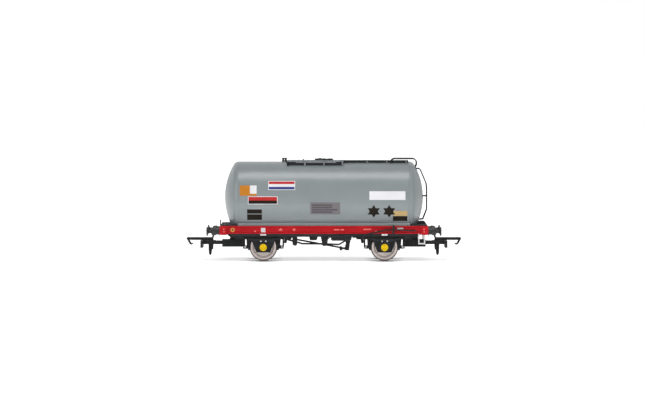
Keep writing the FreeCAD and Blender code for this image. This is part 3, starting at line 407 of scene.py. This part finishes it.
# %% [markdown]
# ## Printed panels
# The panels on the tank are printed, so each is a film of ink a few hundredths of a millimetre thick that
# follows the curve. An image texture could do it, but a film made as a mesh keeps a crisp edge at any size.
# Each outline is drawn flat, as distance along the tank and height above its centre line, cut into narrow
# strips, given its thickness, and then wrapped round the tank.

# %% Tank surface
barrel_low, barrel_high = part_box("tank_barrel")
TANK_RADIUS = (barrel_high[1] - barrel_low[1]) / 2
TANK_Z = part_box("tank_head_left")[0][2] + TANK_RADIUS
INK_DEPTH = 0.03 * MM         # let into the surface below it, so no gap shows
INK_STEP = 0.6 * MM
SIDES = {"near": -1, "far": 1}
print("tank radius", round(TANK_RADIUS, 5), "axis height", round(TANK_Z, 5))


def round_tank(side, lift):
    """Wrap for the side of the tank: flat x and arc length to a place on the tank."""
    def wrap(x, arc, layer):
        reach = TANK_RADIUS + (lift if layer else -INK_DEPTH)
        angle = arc / TANK_RADIUS
        return Vector((-side * x, side * reach * math.cos(angle), TANK_Z + reach * math.sin(angle)))
    return wrap


def flat_wall(side, wall, lift):
    """Wrap for an upright face at a distance from the centre line."""
    def wrap(x, height, layer):
        return Vector((-side * x, side * (wall + (lift if layer else -INK_DEPTH)), height))
    return wrap


def arc_at(height):
    """Arc length from the tank's centre line to a height, all in metres."""
    return TANK_RADIUS * math.asin((height - TANK_Z) / TANK_RADIUS)


# %% [markdown]
# A film is drawn with bmesh. The flat outline is cut into strips, because a long flat face can't bend round
# the tank, then thickened, and only then wrapped. Every piece that is added in this lesson is part of the
# wagon's rigid body, so a single helper links it and lets it ride there.

# %% Ink film
def keep(name, mesh, material, slot):
    """Make an object of a finished mesh, and let it ride on the wagon."""
    mesh.materials.clear()
    mesh.materials.append(material)
    piece = bpy.data.objects.new(name, mesh)
    bpy.context.scene.collection.objects.link(piece)
    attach(piece, "wagon")
    return piece


def ink_film(name, points, faces, wrap, material, slot, curved=True):
    """Closed film: flat faces cut into strips, given a thickness and wrapped on a surface."""
    form = bmesh.new()
    corners = [form.verts.new((x, y, 0)) for x, y in points]
    for face in faces:
        form.faces.new([corners[index] for index in face])
    low = min(y for _, y in points)
    high = max(y for _, y in points)
    strips = max(1, math.ceil((high - low) / INK_STEP)) if curved else 1
    for number in range(1, strips):
        level = low + (high - low) * number / strips
        everything = form.verts[:] + form.edges[:] + form.faces[:]
        bmesh.ops.bisect_plane(form, geom=everything, plane_co=(0, level, 0), plane_no=(0, 1, 0))
    lifted = bmesh.ops.extrude_face_region(form, geom=form.faces[:])["geom"]
    for item in lifted:
        if isinstance(item, bmesh.types.BMVert):
            item.co.z = 1
    for vert in form.verts:
        vert.co = wrap(vert.co.x, vert.co.y, vert.co.z > 0.5)
    bmesh.ops.recalc_face_normals(form, faces=form.faces[:])
    open_edges = sum(1 for edge in form.edges if len(edge.link_faces) != 2)
    mesh = bpy.data.meshes.new(name)
    form.to_mesh(mesh)
    form.free()
    if open_edges:
        print("open edges in", name, open_edges)
    return keep(name, mesh, material, slot)


def rectangle(x0, x1, y0, y1):
    """Corners and face of a rectangle."""
    return [(x0, y0), (x1, y0), (x1, y1), (x0, y1)], [(0, 1, 2, 3)]


# %% [markdown]
# The inks are flatter in sheen than the paint below them, and a little uneven, as a printing pad leaves them.

# %% Inks
def ink(name, colour, gloss=0.2):
    """Printed ink, with hardly any peel and no paler edges, neither worn nor painted highlight."""
    return satin_paint(name, colour, 0.5, 0.04, 0.002, gloss, 0.0)


inks = {
    "orange": (ink("panel orange", (0.60, 0.22, 0.020)), "cap_yellow"),
    "white": (ink("panel white", (0.86, 0.86, 0.89)), "white_paint"),
    "red": (ink("panel red", (0.55, 0.03, 0.03)), "frame_red"),
    "blue": (ink("panel blue", (0.035, 0.05, 0.23)), "tank_paint"),
    "black": (ink("panel black", (0.010, 0.007, 0.004), 0.1), "underframe_black"),
    "mauve": (ink("panel grey", (0.195, 0.185, 0.195)), "fitting_grey"),
    "plum": (ink("bar grey", (0.105, 0.093, 0.105)), "fitting_grey"),
    "gold": (ink("panel buff", (0.56, 0.40, 0.18)), "cap_yellow"),
    "amber": (ink("ring amber", (0.82, 0.36, 0.09)), "cap_yellow"),
    "pale": (ink("frame mark pale", (0.92, 0.24, 0.21)), "white_paint"),
}
print("inks", len(inks))

# %% [markdown]
# The panels are plain blocks of colour. Each row gives a name, an ink, the two ends along the tank, the two
# heights, all in millimetres, and how many films lie under it. The far side carries the same panels, turned
# half round about the middle of the wagon. The grey plate has four darker lines on it, so a loop adds them.

# %% Panels
INK_LIFT = 0.025 * MM
panels = [
    ("orange_block", "orange", -41.5, -36.5, 32.7, 37.7, 0),
    ("orange_tail", "orange", -36.5, -33.2, 32.7, 33.7, 0),
    ("white_square", "white", -36.5, -33.2, 33.7, 37.7, 0),
    ("bars_white", "white", -27.5, -14.2, 35.5, 39.9, 0),
    ("bar_red", "red", -27.2, -14.5, 38.4, 39.6, 1),
    ("bar_blue", "blue", -27.2, -14.5, 35.8, 37.0, 1),
    ("band_border", "white", -37.5, -22.8, 28.4, 32.4, 0),
    ("band_red", "red", -37.2, -23.1, 30.3, 32.1, 1),
    ("band_black", "black", -37.2, -23.1, 28.7, 30.3, 1),
    ("plate_black_upper", "black", -37.9, -30.6, 23.8, 25.9, 0),
    ("plate_black_lower", "black", -37.9, -30.6, 20.6, 23.4, 0),
    ("plate_grey", "mauve", -6.8, 8.0, 23.4, 29.4, 0),
    ("plate_white", "white", 22.4, 40.2, 30.6, 34.9, 0),
    ("plate_buff", "gold", 34.3, 41.2, 22.6, 25.1, 0),
    ("plate_dark", "black", 34.1, 41.2, 20.1, 22.5, 0),
]
LINE_LEFT = -5.9
LINE_TOP = 28.4
LINE_PITCH = 1.15
LINE_HEIGHT = 0.8
line_lengths = (10.1, 10.1, 12.5, 10.1)
for number, length in enumerate(line_lengths):
    top = LINE_TOP - LINE_PITCH * number
    line_name = "plate_line_%d" % (number + 1)
    panels.append((line_name, "plum", LINE_LEFT, LINE_LEFT + length, top - LINE_HEIGHT, top, 1))
for name, colour, x0, x1, z0, z1, under in panels:
    material, slot = inks[colour]
    points, faces = rectangle(x0 * MM, x1 * MM, arc_at(z0 * MM), arc_at(z1 * MM))
    lift = INK_LIFT * (1 + under)
    for side_name, side in SIDES.items():
        ink_film(name + "_" + side_name, points, faces, round_tank(side, lift), material, slot)
print("panels on each side", len(panels))

# %% [markdown]
# Two black six-pointed stars are the traditional sign of a wagon with its own brake rules. A star is a
# hexagon with a triangle on each side, so it cuts into strips cleanly.

# %% Stars
STAR_RADIUS = 3.4 * MM
STAR_POINTS = 6
STAR_HEIGHT = 24.9 * MM
star_x = {"left": 24.6 * MM, "right": 32.2 * MM}


def star(x, arc):
    """Points and faces of a star with its tips on a circle."""
    inner = STAR_RADIUS / math.sqrt(3)
    points = []
    for number in range(2 * STAR_POINTS):
        radius = inner if number % 2 else STAR_RADIUS
        angle = math.pi / 2 + math.pi * number / STAR_POINTS
        points.append((x + radius * math.cos(angle), arc + radius * math.sin(angle)))
    inside = list(range(1, 2 * STAR_POINTS, 2))
    tips = [(tip - 1 if tip else 2 * STAR_POINTS - 1, tip, tip + 1) for tip in range(0, 2 * STAR_POINTS, 2)]
    return points, [inside] + tips


for star_name, x in star_x.items():
    points, faces = star(x, arc_at(STAR_HEIGHT))
    for side_name, side in SIDES.items():
        ink_film("star_" + star_name + "_" + side_name, points, faces,
                 round_tank(side, INK_LIFT * 2), *inks["black"])
print("stars on each side", len(star_x))

# %% [markdown]
# The solebars carry small marks for lifting points and labels. They are plain here: an orange ring, a white
# square and a few pale dashes, all on the web of the channel, which is set back from its flanges.

# %% Solebar marks
CHANNEL_DEPTH = 0.9 * MM
solebar_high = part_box("solebar_far")[1]
WEB = solebar_high[1] - CHANNEL_DEPTH
RING_SEGMENTS = 24
RING_X = -45.1 * MM
RING_Z = 15.6 * MM
RING_RADIUS = 1.1 * MM
RING_CENTRE = 0.4 * MM
marks = [
    ("mark_small_left", "pale", -34.4, -33.6, 14.6, 15.3),
    ("mark_square", "white", -31.1, -28.9, 14.4, 16.6),
    ("mark_label_a", "pale", -15.3, -14.1, 15.2, 16.2),
    ("mark_dash_a", "pale", 5.0, 7.7, 15.4, 16.0),
    ("mark_dash_b", "pale", 8.3, 9.9, 15.4, 16.0),
    ("mark_dash_c", "pale", 19.6, 23.4, 15.6, 16.2),
    ("mark_small_right", "pale", 25.4, 26.2, 14.6, 15.3),
    ("mark_dash_d", "white", 36.3, 39.3, 16.0, 16.7),
]
for name, colour, x0, x1, z0, z1 in marks:
    points, faces = rectangle(x0 * MM, x1 * MM, z0 * MM, z1 * MM)
    for side_name, side in SIDES.items():
        ink_film(name + "_" + side_name, points, faces, flat_wall(side, WEB, INK_LIFT), *inks[colour], False)


def disc(x, z, radius):
    """Corners and face of a disc."""
    turn = 2 * math.pi / RING_SEGMENTS
    points = [(x + radius * math.cos(turn * number), z + radius * math.sin(turn * number))
              for number in range(RING_SEGMENTS)]
    return points, [tuple(range(RING_SEGMENTS))]


triangle = [(-22.7 * MM, 15.3 * MM), (-20.1 * MM, 15.3 * MM), (-21.4 * MM, 16.5 * MM)]
for side_name, side in SIDES.items():
    ink_film("ring_orange_" + side_name, *disc(RING_X, RING_Z, RING_RADIUS),
             flat_wall(side, WEB, INK_LIFT), *inks["amber"], False)
    ink_film("ring_centre_" + side_name, *disc(RING_X, RING_Z, RING_CENTRE),
             flat_wall(side, WEB, INK_LIFT * 2), *inks["black"], False)
    ink_film("mark_triangle_" + side_name, triangle, [(0, 1, 2)],
             flat_wall(side, WEB, INK_LIFT), *inks["pale"], False)
print("marks on each side", len(marks) + 3)


# %% [markdown]
# ## Rivets, bolts and treads with Geometry Nodes
# Anything that repeats along a line or over a surface is a job for Geometry Nodes. A tree takes a simple
# base, which is a line, some points or the plate itself, and puts a small head on it at every step. The
# result is turned into a plain mesh, so that it exports like any other piece.

# %% Tree helpers
def new_tree(name, sizes):
    """Geometry Nodes tree with a geometry and a material in, named sizes, and a geometry out."""
    tree = bpy.data.node_groups.new(name, "GeometryNodeTree")
    tree.interface.new_socket("Geometry", in_out="INPUT", socket_type="NodeSocketGeometry")
    tree.interface.new_socket("Material", in_out="INPUT", socket_type="NodeSocketMaterial")
    for label in sizes:
        tree.interface.new_socket(label, in_out="INPUT", socket_type="NodeSocketFloat")
    tree.interface.new_socket("Geometry", in_out="OUTPUT", socket_type="NodeSocketGeometry")
    return tree, add(tree, "NodeGroupInput").outputs, add(tree, "NodeGroupOutput").inputs[0]


def finish_tree(tree, instances, given, result):
    """Realize the heads, give them their material and send them out."""
    real = add(tree, "GeometryNodeRealizeInstances", Geometry=instances)
    painted = add(tree, "GeometryNodeSetMaterial", Geometry=real.outputs[0], Material=given["Material"])
    tree.links.new(painted.outputs[0], result)


def field(tree, operation, first, second=0.0):
    """Vector arithmetic on a field."""
    return add(tree, "ShaderNodeVectorMath", {"operation": operation}, i0=first, i1=second).outputs["Vector"]


def grow(name, base, tree, sizes, slot, material=None):
    """Run a tree on a base mesh and keep the result as a plain mesh."""
    material = material or finishes[slot]
    carrier = bpy.data.objects.new(name + "_base", base)
    bpy.context.scene.collection.objects.link(carrier)
    modifier = carrier.modifiers.new("grow", "NODES")
    modifier.node_group = tree
    values = dict(sizes, Material=material)
    for item in tree.interface.items_tree:
        if item.item_type == "SOCKET" and item.in_out == "INPUT" and item.name in values:
            modifier[item.identifier] = values[item.name]
    evaluated = carrier.evaluated_get(bpy.context.evaluated_depsgraph_get())
    mesh = bpy.data.meshes.new_from_object(evaluated)
    mesh.name = name
    carrier.modifiers.remove(modifier)
    bpy.data.objects.remove(carrier)
    print(name, "faces", len(mesh.polygons))
    return keep(name, mesh, material, slot)


def base_mesh(name, points, outward, edges=()):
    """Points, or lines, with the direction that each head faces."""
    mesh = bpy.data.meshes.new(name)
    mesh.from_pydata(points, edges, [])
    facing = mesh.attributes.new("facing", "FLOAT_VECTOR", "POINT")
    facing.data.foreach_set("vector", [value for vector in outward for value in vector])
    return mesh


# %% [markdown]
# Two heads are needed. A rivet is a dome with its lower half sunk in the plate, and it repeats at an even
# pitch along a line. A bolt is a washer, a hexagon and the round end of the thread, and it stands on chosen
# points. Both are turned to the direction stored at each point, so one tree serves the tops and the sides.

# %% Head trees
DOME_SEGMENTS = 8
DOME_RINGS = 5
DOME_HEIGHT = 1.15           # of the radius
# sides, then the radius, the depth and the height of the middle, as shares of the head's own radius
BOLT_LAYERS = (
    (12, 1.3, 0.5, 0.0),     # washer
    (6, 1.0, 1.0, 0.5),      # hexagon head
    (8, 0.45, 0.6, 1.0),     # end of the bolt
)


def turned_to_face(tree):
    """Rotation that stands a head on the surface."""
    facing = add(tree, "GeometryNodeInputNamedAttribute", {"data_type": "FLOAT_VECTOR"}, Name="facing")
    return add(tree, "FunctionNodeAlignRotationToVector", {"axis": "Z"}, Vector=facing.outputs[0]).outputs[0]


def dome(tree, radius):
    """Round head with its lower half sunk in."""
    ball = add(tree, "GeometryNodeMeshUVSphere", Segments=DOME_SEGMENTS, Rings=DOME_RINGS, Radius=radius)
    flat = add(tree, "GeometryNodeTransform", Geometry=ball.outputs[0], Scale=(1, 1, DOME_HEIGHT))
    return add(tree, "GeometryNodeSetShadeSmooth", Geometry=flat.outputs[0]).outputs[0]


def rivet_row_tree():
    """Domes at an even pitch along every line of the base."""
    tree, given, result = new_tree("rivet row", ["Pitch", "Radius"])
    line = add(tree, "GeometryNodeMeshToCurve", Mesh=given["Geometry"])
    steps = add(tree, "GeometryNodeResampleCurve", {"mode": "LENGTH"}, Curve=line.outputs[0],
                Length=given["Pitch"])
    heads = add(tree, "GeometryNodeInstanceOnPoints", Points=steps.outputs[0],
                Instance=dome(tree, given["Radius"]), Rotation=turned_to_face(tree))
    finish_tree(tree, heads.outputs[0], given, result)
    return tree


def bolt_tree():
    """Washer, hexagon head and the round end of the bolt, at every point of the base."""
    tree, given, result = new_tree("bolt heads", ["Radius"])
    radius = given["Radius"]
    parts = []
    for sides, width, height, middle in BOLT_LAYERS:
        cylinder = add(tree, "GeometryNodeMeshCylinder", Vertices=sides,
                       Radius=math_node(tree, "MULTIPLY", radius, width),
                       Depth=math_node(tree, "MULTIPLY", radius, height))
        shift = add(tree, "ShaderNodeCombineXYZ", Z=math_node(tree, "MULTIPLY", radius, middle))
        parts.append(add(tree, "GeometryNodeTransform", Geometry=cylinder.outputs[0],
                         Translation=shift.outputs[0]).outputs[0])
    joined = add(tree, "GeometryNodeJoinGeometry")
    for part in parts:
        tree.links.new(part, joined.inputs[0])
    heads = add(tree, "GeometryNodeInstanceOnPoints", Points=given["Geometry"],
                Instance=joined.outputs[0], Rotation=turned_to_face(tree))
    finish_tree(tree, heads.outputs[0], given, result)
    return tree


RIVET_ROW = rivet_row_tree()
BOLT_HEADS = bolt_tree()

# %% [markdown]
# A row of rivet heads runs along the top flange of each solebar, between the two end decks.

# %% Solebar rivets
RIVET_PITCH = 1.2 * MM
RIVET_RADIUS = 0.40 * MM
RIVET_INSET = 0.45 * MM
deck_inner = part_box("end_deck_right")[0][0]
solebar_top = solebar_high[2]
row_y = solebar_high[1] - RIVET_INSET
row_x = deck_inner - RIVET_RADIUS
row_points = [(end * row_x, side * row_y, solebar_top) for side in (-1, 1) for end in (-1, 1)]
rows = base_mesh("solebar_rows", row_points, [(0, 0, 1)] * 4, [(0, 1), (2, 3)])
pale_steel = satin_paint("rivet grey", (0.27, 0.265, 0.26), 0.5, wear_and_highlight=0.0)
grow("solebar_rivets", rows, RIVET_ROW, {"Pitch": RIVET_PITCH, "Radius": RIVET_RADIUS}, "fitting_grey",
     material=pale_steel)

# %% [markdown]
# Finer rivets follow the two long edges of both walkways, set in a little from the rim.

# %% Walkway rivets
WALKWAY_PITCH = 2.4 * MM
WALKWAY_RIVET = 0.17 * MM
EDGE_INSET = 0.42 * MM
lines = []
for node in ("walkway_wide", "walkway_narrow"):
    low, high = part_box(node)
    for y in (low[1] + EDGE_INSET, high[1] - EDGE_INSET):
        lines.append([(low[0] + EDGE_INSET, y, high[2]), (high[0] - EDGE_INSET, y, high[2])])
points = [point for line in lines for point in line]
edges = [(2 * number, 2 * number + 1) for number in range(len(lines))]
grow("walkway_rivets", base_mesh("walkway_rows", points, [(0, 0, 1)] * len(points), edges), RIVET_ROW,
     {"Pitch": WALKWAY_PITCH, "Radius": WALKWAY_RIVET}, "fitting_grey")


# %% [markdown]
# ## Tread plates
# The walkways and the end decks are chequer plate: small lozenges that lie alternately one way and the
# other. The tree lays a grid over the plate and casts a ray down from four corners round each point. A
# lozenge is only placed where all four rays land, so none hangs over the manhole opening or an edge.

# %% Tread tree
TREAD_CLEARANCE = 0.6 * MM      # height above the plate from which the rays fall
RAY_REACH = 1.5                 # of that height
CORNER_SHARE = 0.42             # of the pitch, from a point to the corners that must lie over the plate
LOZENGE_SHARE = 0.46            # of the pitch, for half a lozenge's length
LOZENGE_SHAPE = (1, 0.34, 0.26)
LOZENGE_SEGMENTS = 6
LOZENGE_RINGS = 4


def tread_tree():
    """Chequer pattern on the top of a plate."""
    labels = ["Length", "Width", "Pitch", "Middle X", "Middle Y", "Top"]
    tree, given, result = new_tree("chequer plate", labels)
    counts = [math_node(tree, "DIVIDE", given[label], given["Pitch"]) for label in ("Length", "Width")]
    grid = add(tree, "GeometryNodeMeshGrid", Size_X=given["Length"], Size_Y=given["Width"],
               Vertices_X=counts[0], Vertices_Y=counts[1])
    height = math_node(tree, "ADD", given["Top"], TREAD_CLEARANCE)
    middle = add(tree, "ShaderNodeCombineXYZ", X=given["Middle X"], Y=given["Middle Y"], Z=height)
    above = add(tree, "GeometryNodeTransform", Geometry=grid.outputs[0], Translation=middle.outputs[0])
    here = add(tree, "GeometryNodeInputPosition").outputs[0]
    margin = math_node(tree, "MULTIPLY", given["Pitch"], CORNER_SHARE)
    landed = None
    for right, up in ((1, 1), (1, -1), (-1, 1), (-1, -1)):
        corner = add(tree, "ShaderNodeCombineXYZ", X=math_node(tree, "MULTIPLY", margin, right),
                     Y=math_node(tree, "MULTIPLY", margin, up))
        ray = add(tree, "GeometryNodeRaycast", Target_Geometry=given["Geometry"],
                  Source_Position=field(tree, "ADD", here, corner.outputs[0]),
                  Ray_Direction=(0, 0, -1), Ray_Length=RAY_REACH * TREAD_CLEARANCE)
        hit = ray.outputs["Is Hit"]
        landed = hit if landed is None else math_node(tree, "MULTIPLY", landed, hit)
    missed = math_node(tree, "SUBTRACT", 1.0, landed)
    kept = add(tree, "GeometryNodeDeleteGeometry", Geometry=above.outputs[0], Selection=missed)
    down = add(tree, "GeometryNodeSetPosition", Geometry=kept.outputs[0], Offset=(0, 0, -TREAD_CLEARANCE))
    ball = add(tree, "GeometryNodeMeshUVSphere", Segments=LOZENGE_SEGMENTS, Rings=LOZENGE_RINGS,
               Radius=math_node(tree, "MULTIPLY", given["Pitch"], LOZENGE_SHARE))
    lozenge = add(tree, "GeometryNodeTransform", Geometry=ball.outputs[0], Scale=LOZENGE_SHAPE)
    smooth = add(tree, "GeometryNodeSetShadeSmooth", Geometry=lozenge.outputs[0])
    steps = [add(tree, "ShaderNodeSeparateXYZ", Vector=here).outputs[label] for label in ("X", "Y")]
    starts = [given["Middle X"], given["Middle Y"]]
    turns = []
    for step, start, count, label in zip(steps, starts, counts, ("Length", "Width")):
        spacing = math_node(tree, "DIVIDE", given[label],
                            math_node(tree, "SUBTRACT", math_node(tree, "FLOOR", count), 1.0))
        offset = math_node(tree, "ADD", math_node(tree, "SUBTRACT", step, start),
                           math_node(tree, "MULTIPLY", given[label], 0.5))
        turns.append(math_node(tree, "ROUND", math_node(tree, "DIVIDE", offset, spacing)))
    odd = math_node(tree, "FLOORED_MODULO", math_node(tree, "ADD", *turns), 2.0)
    angle = math_node(tree, "MULTIPLY", math_node(tree, "SUBTRACT", odd, 0.5), math.pi / 2)
    spin = add(tree, "ShaderNodeCombineXYZ", Z=angle)
    turned = add(tree, "FunctionNodeEulerToRotation", Euler=spin.outputs[0])
    heads = add(tree, "GeometryNodeInstanceOnPoints", Points=down.outputs[0],
                Instance=smooth.outputs[0], Rotation=turned.outputs[0])
    finish_tree(tree, heads.outputs[0], given, result)
    return tree


TREAD_PLATE = tread_tree()

# %% [markdown]
# The plate itself is the base of the tree, as a copy of its own mesh, so the rays find the real surface.

# %% Treads
TREAD_PITCH = 0.95 * MM
for node in ("walkway_wide", "walkway_narrow", "end_deck_left", "end_deck_right"):
    low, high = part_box(node)
    sizes = {"Length": high[0] - low[0], "Width": high[1] - low[1], "Pitch": TREAD_PITCH,
             "Middle X": (low[0] + high[0]) / 2, "Middle Y": (low[1] + high[1]) / 2, "Top": high[2]}
    grow(node + "_treads", bpy.data.objects[node].data.copy(), TREAD_PLATE, sizes, slot_of[node])

# %% [markdown]
# ## Bolts
# The bolts that hold the running gear are picked out because they catch the light: two on the front of each
# spring buckle, a line down each side of the axle guards, three on every axle cap, and four round the foot of
# every buffer.

# %% Bolts
spring_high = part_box("leaf_springs")[1]
guard_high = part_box("axle_guards")[1]
BUCKLE_BOLT_Z = 10.0 * MM
BUCKLE_BOLT_X = (-1.2 * MM, 1.3 * MM)
guard_bolts = [(5.15 * MM, 11.4 * MM), (5.1 * MM, 10.3 * MM), (4.4 * MM, 8.4 * MM), (3.6 * MM, 6.2 * MM)]


def corners(spots):
    """Copy spots, given for the far side of the wagon, to both sides."""
    points = []
    facing = []
    for (x, y, z), (dx, dy, dz) in spots:
        for side in (-1, 1):
            points.append((x, side * y, z))
            facing.append((dx, side * dy, dz))
    return points, facing


def bolts(name, spots, radius, slot, material=None):
    """Bolt heads on the spots, on both sides of the wagon."""
    points, facing = corners(spots)
    grow(name + "_bolts", base_mesh(name + "_spots", points, facing), BOLT_HEADS, {"Radius": radius},
         slot, material=material)


# The buckle bolts are pale steel. This is partly their metal and partly a painted highlight, so they show as
# bright dots on the black gear.
bolt_steel_highlight = turned_metal("bolt steel painted highlight", (0.72, 0.72, 0.70), 0.4, 0.5)
buckle_spots = [((axle * AXLE_X + x, spring_high[1], BUCKLE_BOLT_Z), (0, 1, 0))
                for axle in (-1, 1) for x in BUCKLE_BOLT_X]
bolts("buckle", buckle_spots, 0.30 * MM, "fitting_grey", bolt_steel_highlight)

guard_spots = [((axle * AXLE_X + way * x, guard_high[1], z), (0, 1, 0))
               for axle in (-1, 1) for way in (-1, 1) for x, z in guard_bolts]
bolts("guard", guard_spots, 0.22 * MM, "underframe_black")

# %% [markdown]
# The caps have theirs in a ring, and the buffers at the corners of an oblong foot, so their places are worked
# out from the centres of those pieces.

# %% Cap and buffer bolts
cap_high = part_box("axle_end_caps")[1]
CAP_BOLT_RING = 0.95 * MM
CAP_BOLTS = 3
cap_spots = []
for axle in (-1, 1):
    for number in range(CAP_BOLTS):
        angle = math.pi / 2 + number * 2 * math.pi / CAP_BOLTS
        x = axle * AXLE_X + CAP_BOLT_RING * math.cos(angle)
        cap_spots.append(((x, cap_high[1], AXLE_Z + CAP_BOLT_RING * math.sin(angle)), (0, 1, 0)))
bolts("cap", cap_spots, 0.26 * MM, "cap_yellow")

buffer_low, buffer_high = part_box("buffer_housings")
headstock_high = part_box("headstock_right")[1]
FOOT_REACH = (2.15 * MM, 1.2 * MM)      # from a buffer's centre line to its foot bolts, across and up
buffer_radius = (buffer_high[2] - buffer_low[2]) / 2
buffer_z = (buffer_high[2] + buffer_low[2]) / 2
buffer_y = buffer_high[1] - buffer_radius
foot_spots = [((end * headstock_high[0], buffer_y + across * FOOT_REACH[0], buffer_z + up * FOOT_REACH[1]),
               (end, 0, 0))
              for end in (-1, 1) for across in (-1, 1) for up in (-1, 1)]
bolts("buffer", foot_spots, 0.24 * MM, "underframe_black")

# %% [markdown]
# Each solebar ends in a pair of rivets, one above the other, which hold it to the headstock. A line as long
# as the pitch gives exactly two.

# %% Headstock rivets
HEADSTOCK_RIVET = 0.45 * MM
PAIR_PITCH = 1.2 * MM
rivet_spot = (49.5 * MM, headstock_high[1], 15.95 * MM)
spots = [((end * rivet_spot[0], rivet_spot[1], rivet_spot[2]), (0, 1, 0)) for end in (-1, 1)]
points, facing = corners(spots)
pairs = []
for x, y, z in points:
    pairs += [(x, y, z), (x, y, z - PAIR_PITCH)]
pair_facing = [vector for vector in facing for _ in (0, 1)]
edges = [(2 * number, 2 * number + 1) for number in range(len(points))]
# Painted highlight: the rivets are a paler red than the frame, standing in for the bright spot on each dome.
highlight_red = satin_paint("rivet red painted highlight", (0.85, 0.16, 0.15), 0.4, wear_and_highlight=0.0)
grow("headstock_rivets", base_mesh("headstock_spots", pairs, pair_facing, edges), RIVET_ROW,
     {"Pitch": PAIR_PITCH, "Radius": HEADSTOCK_RIVET}, "frame_red", material=highlight_red)
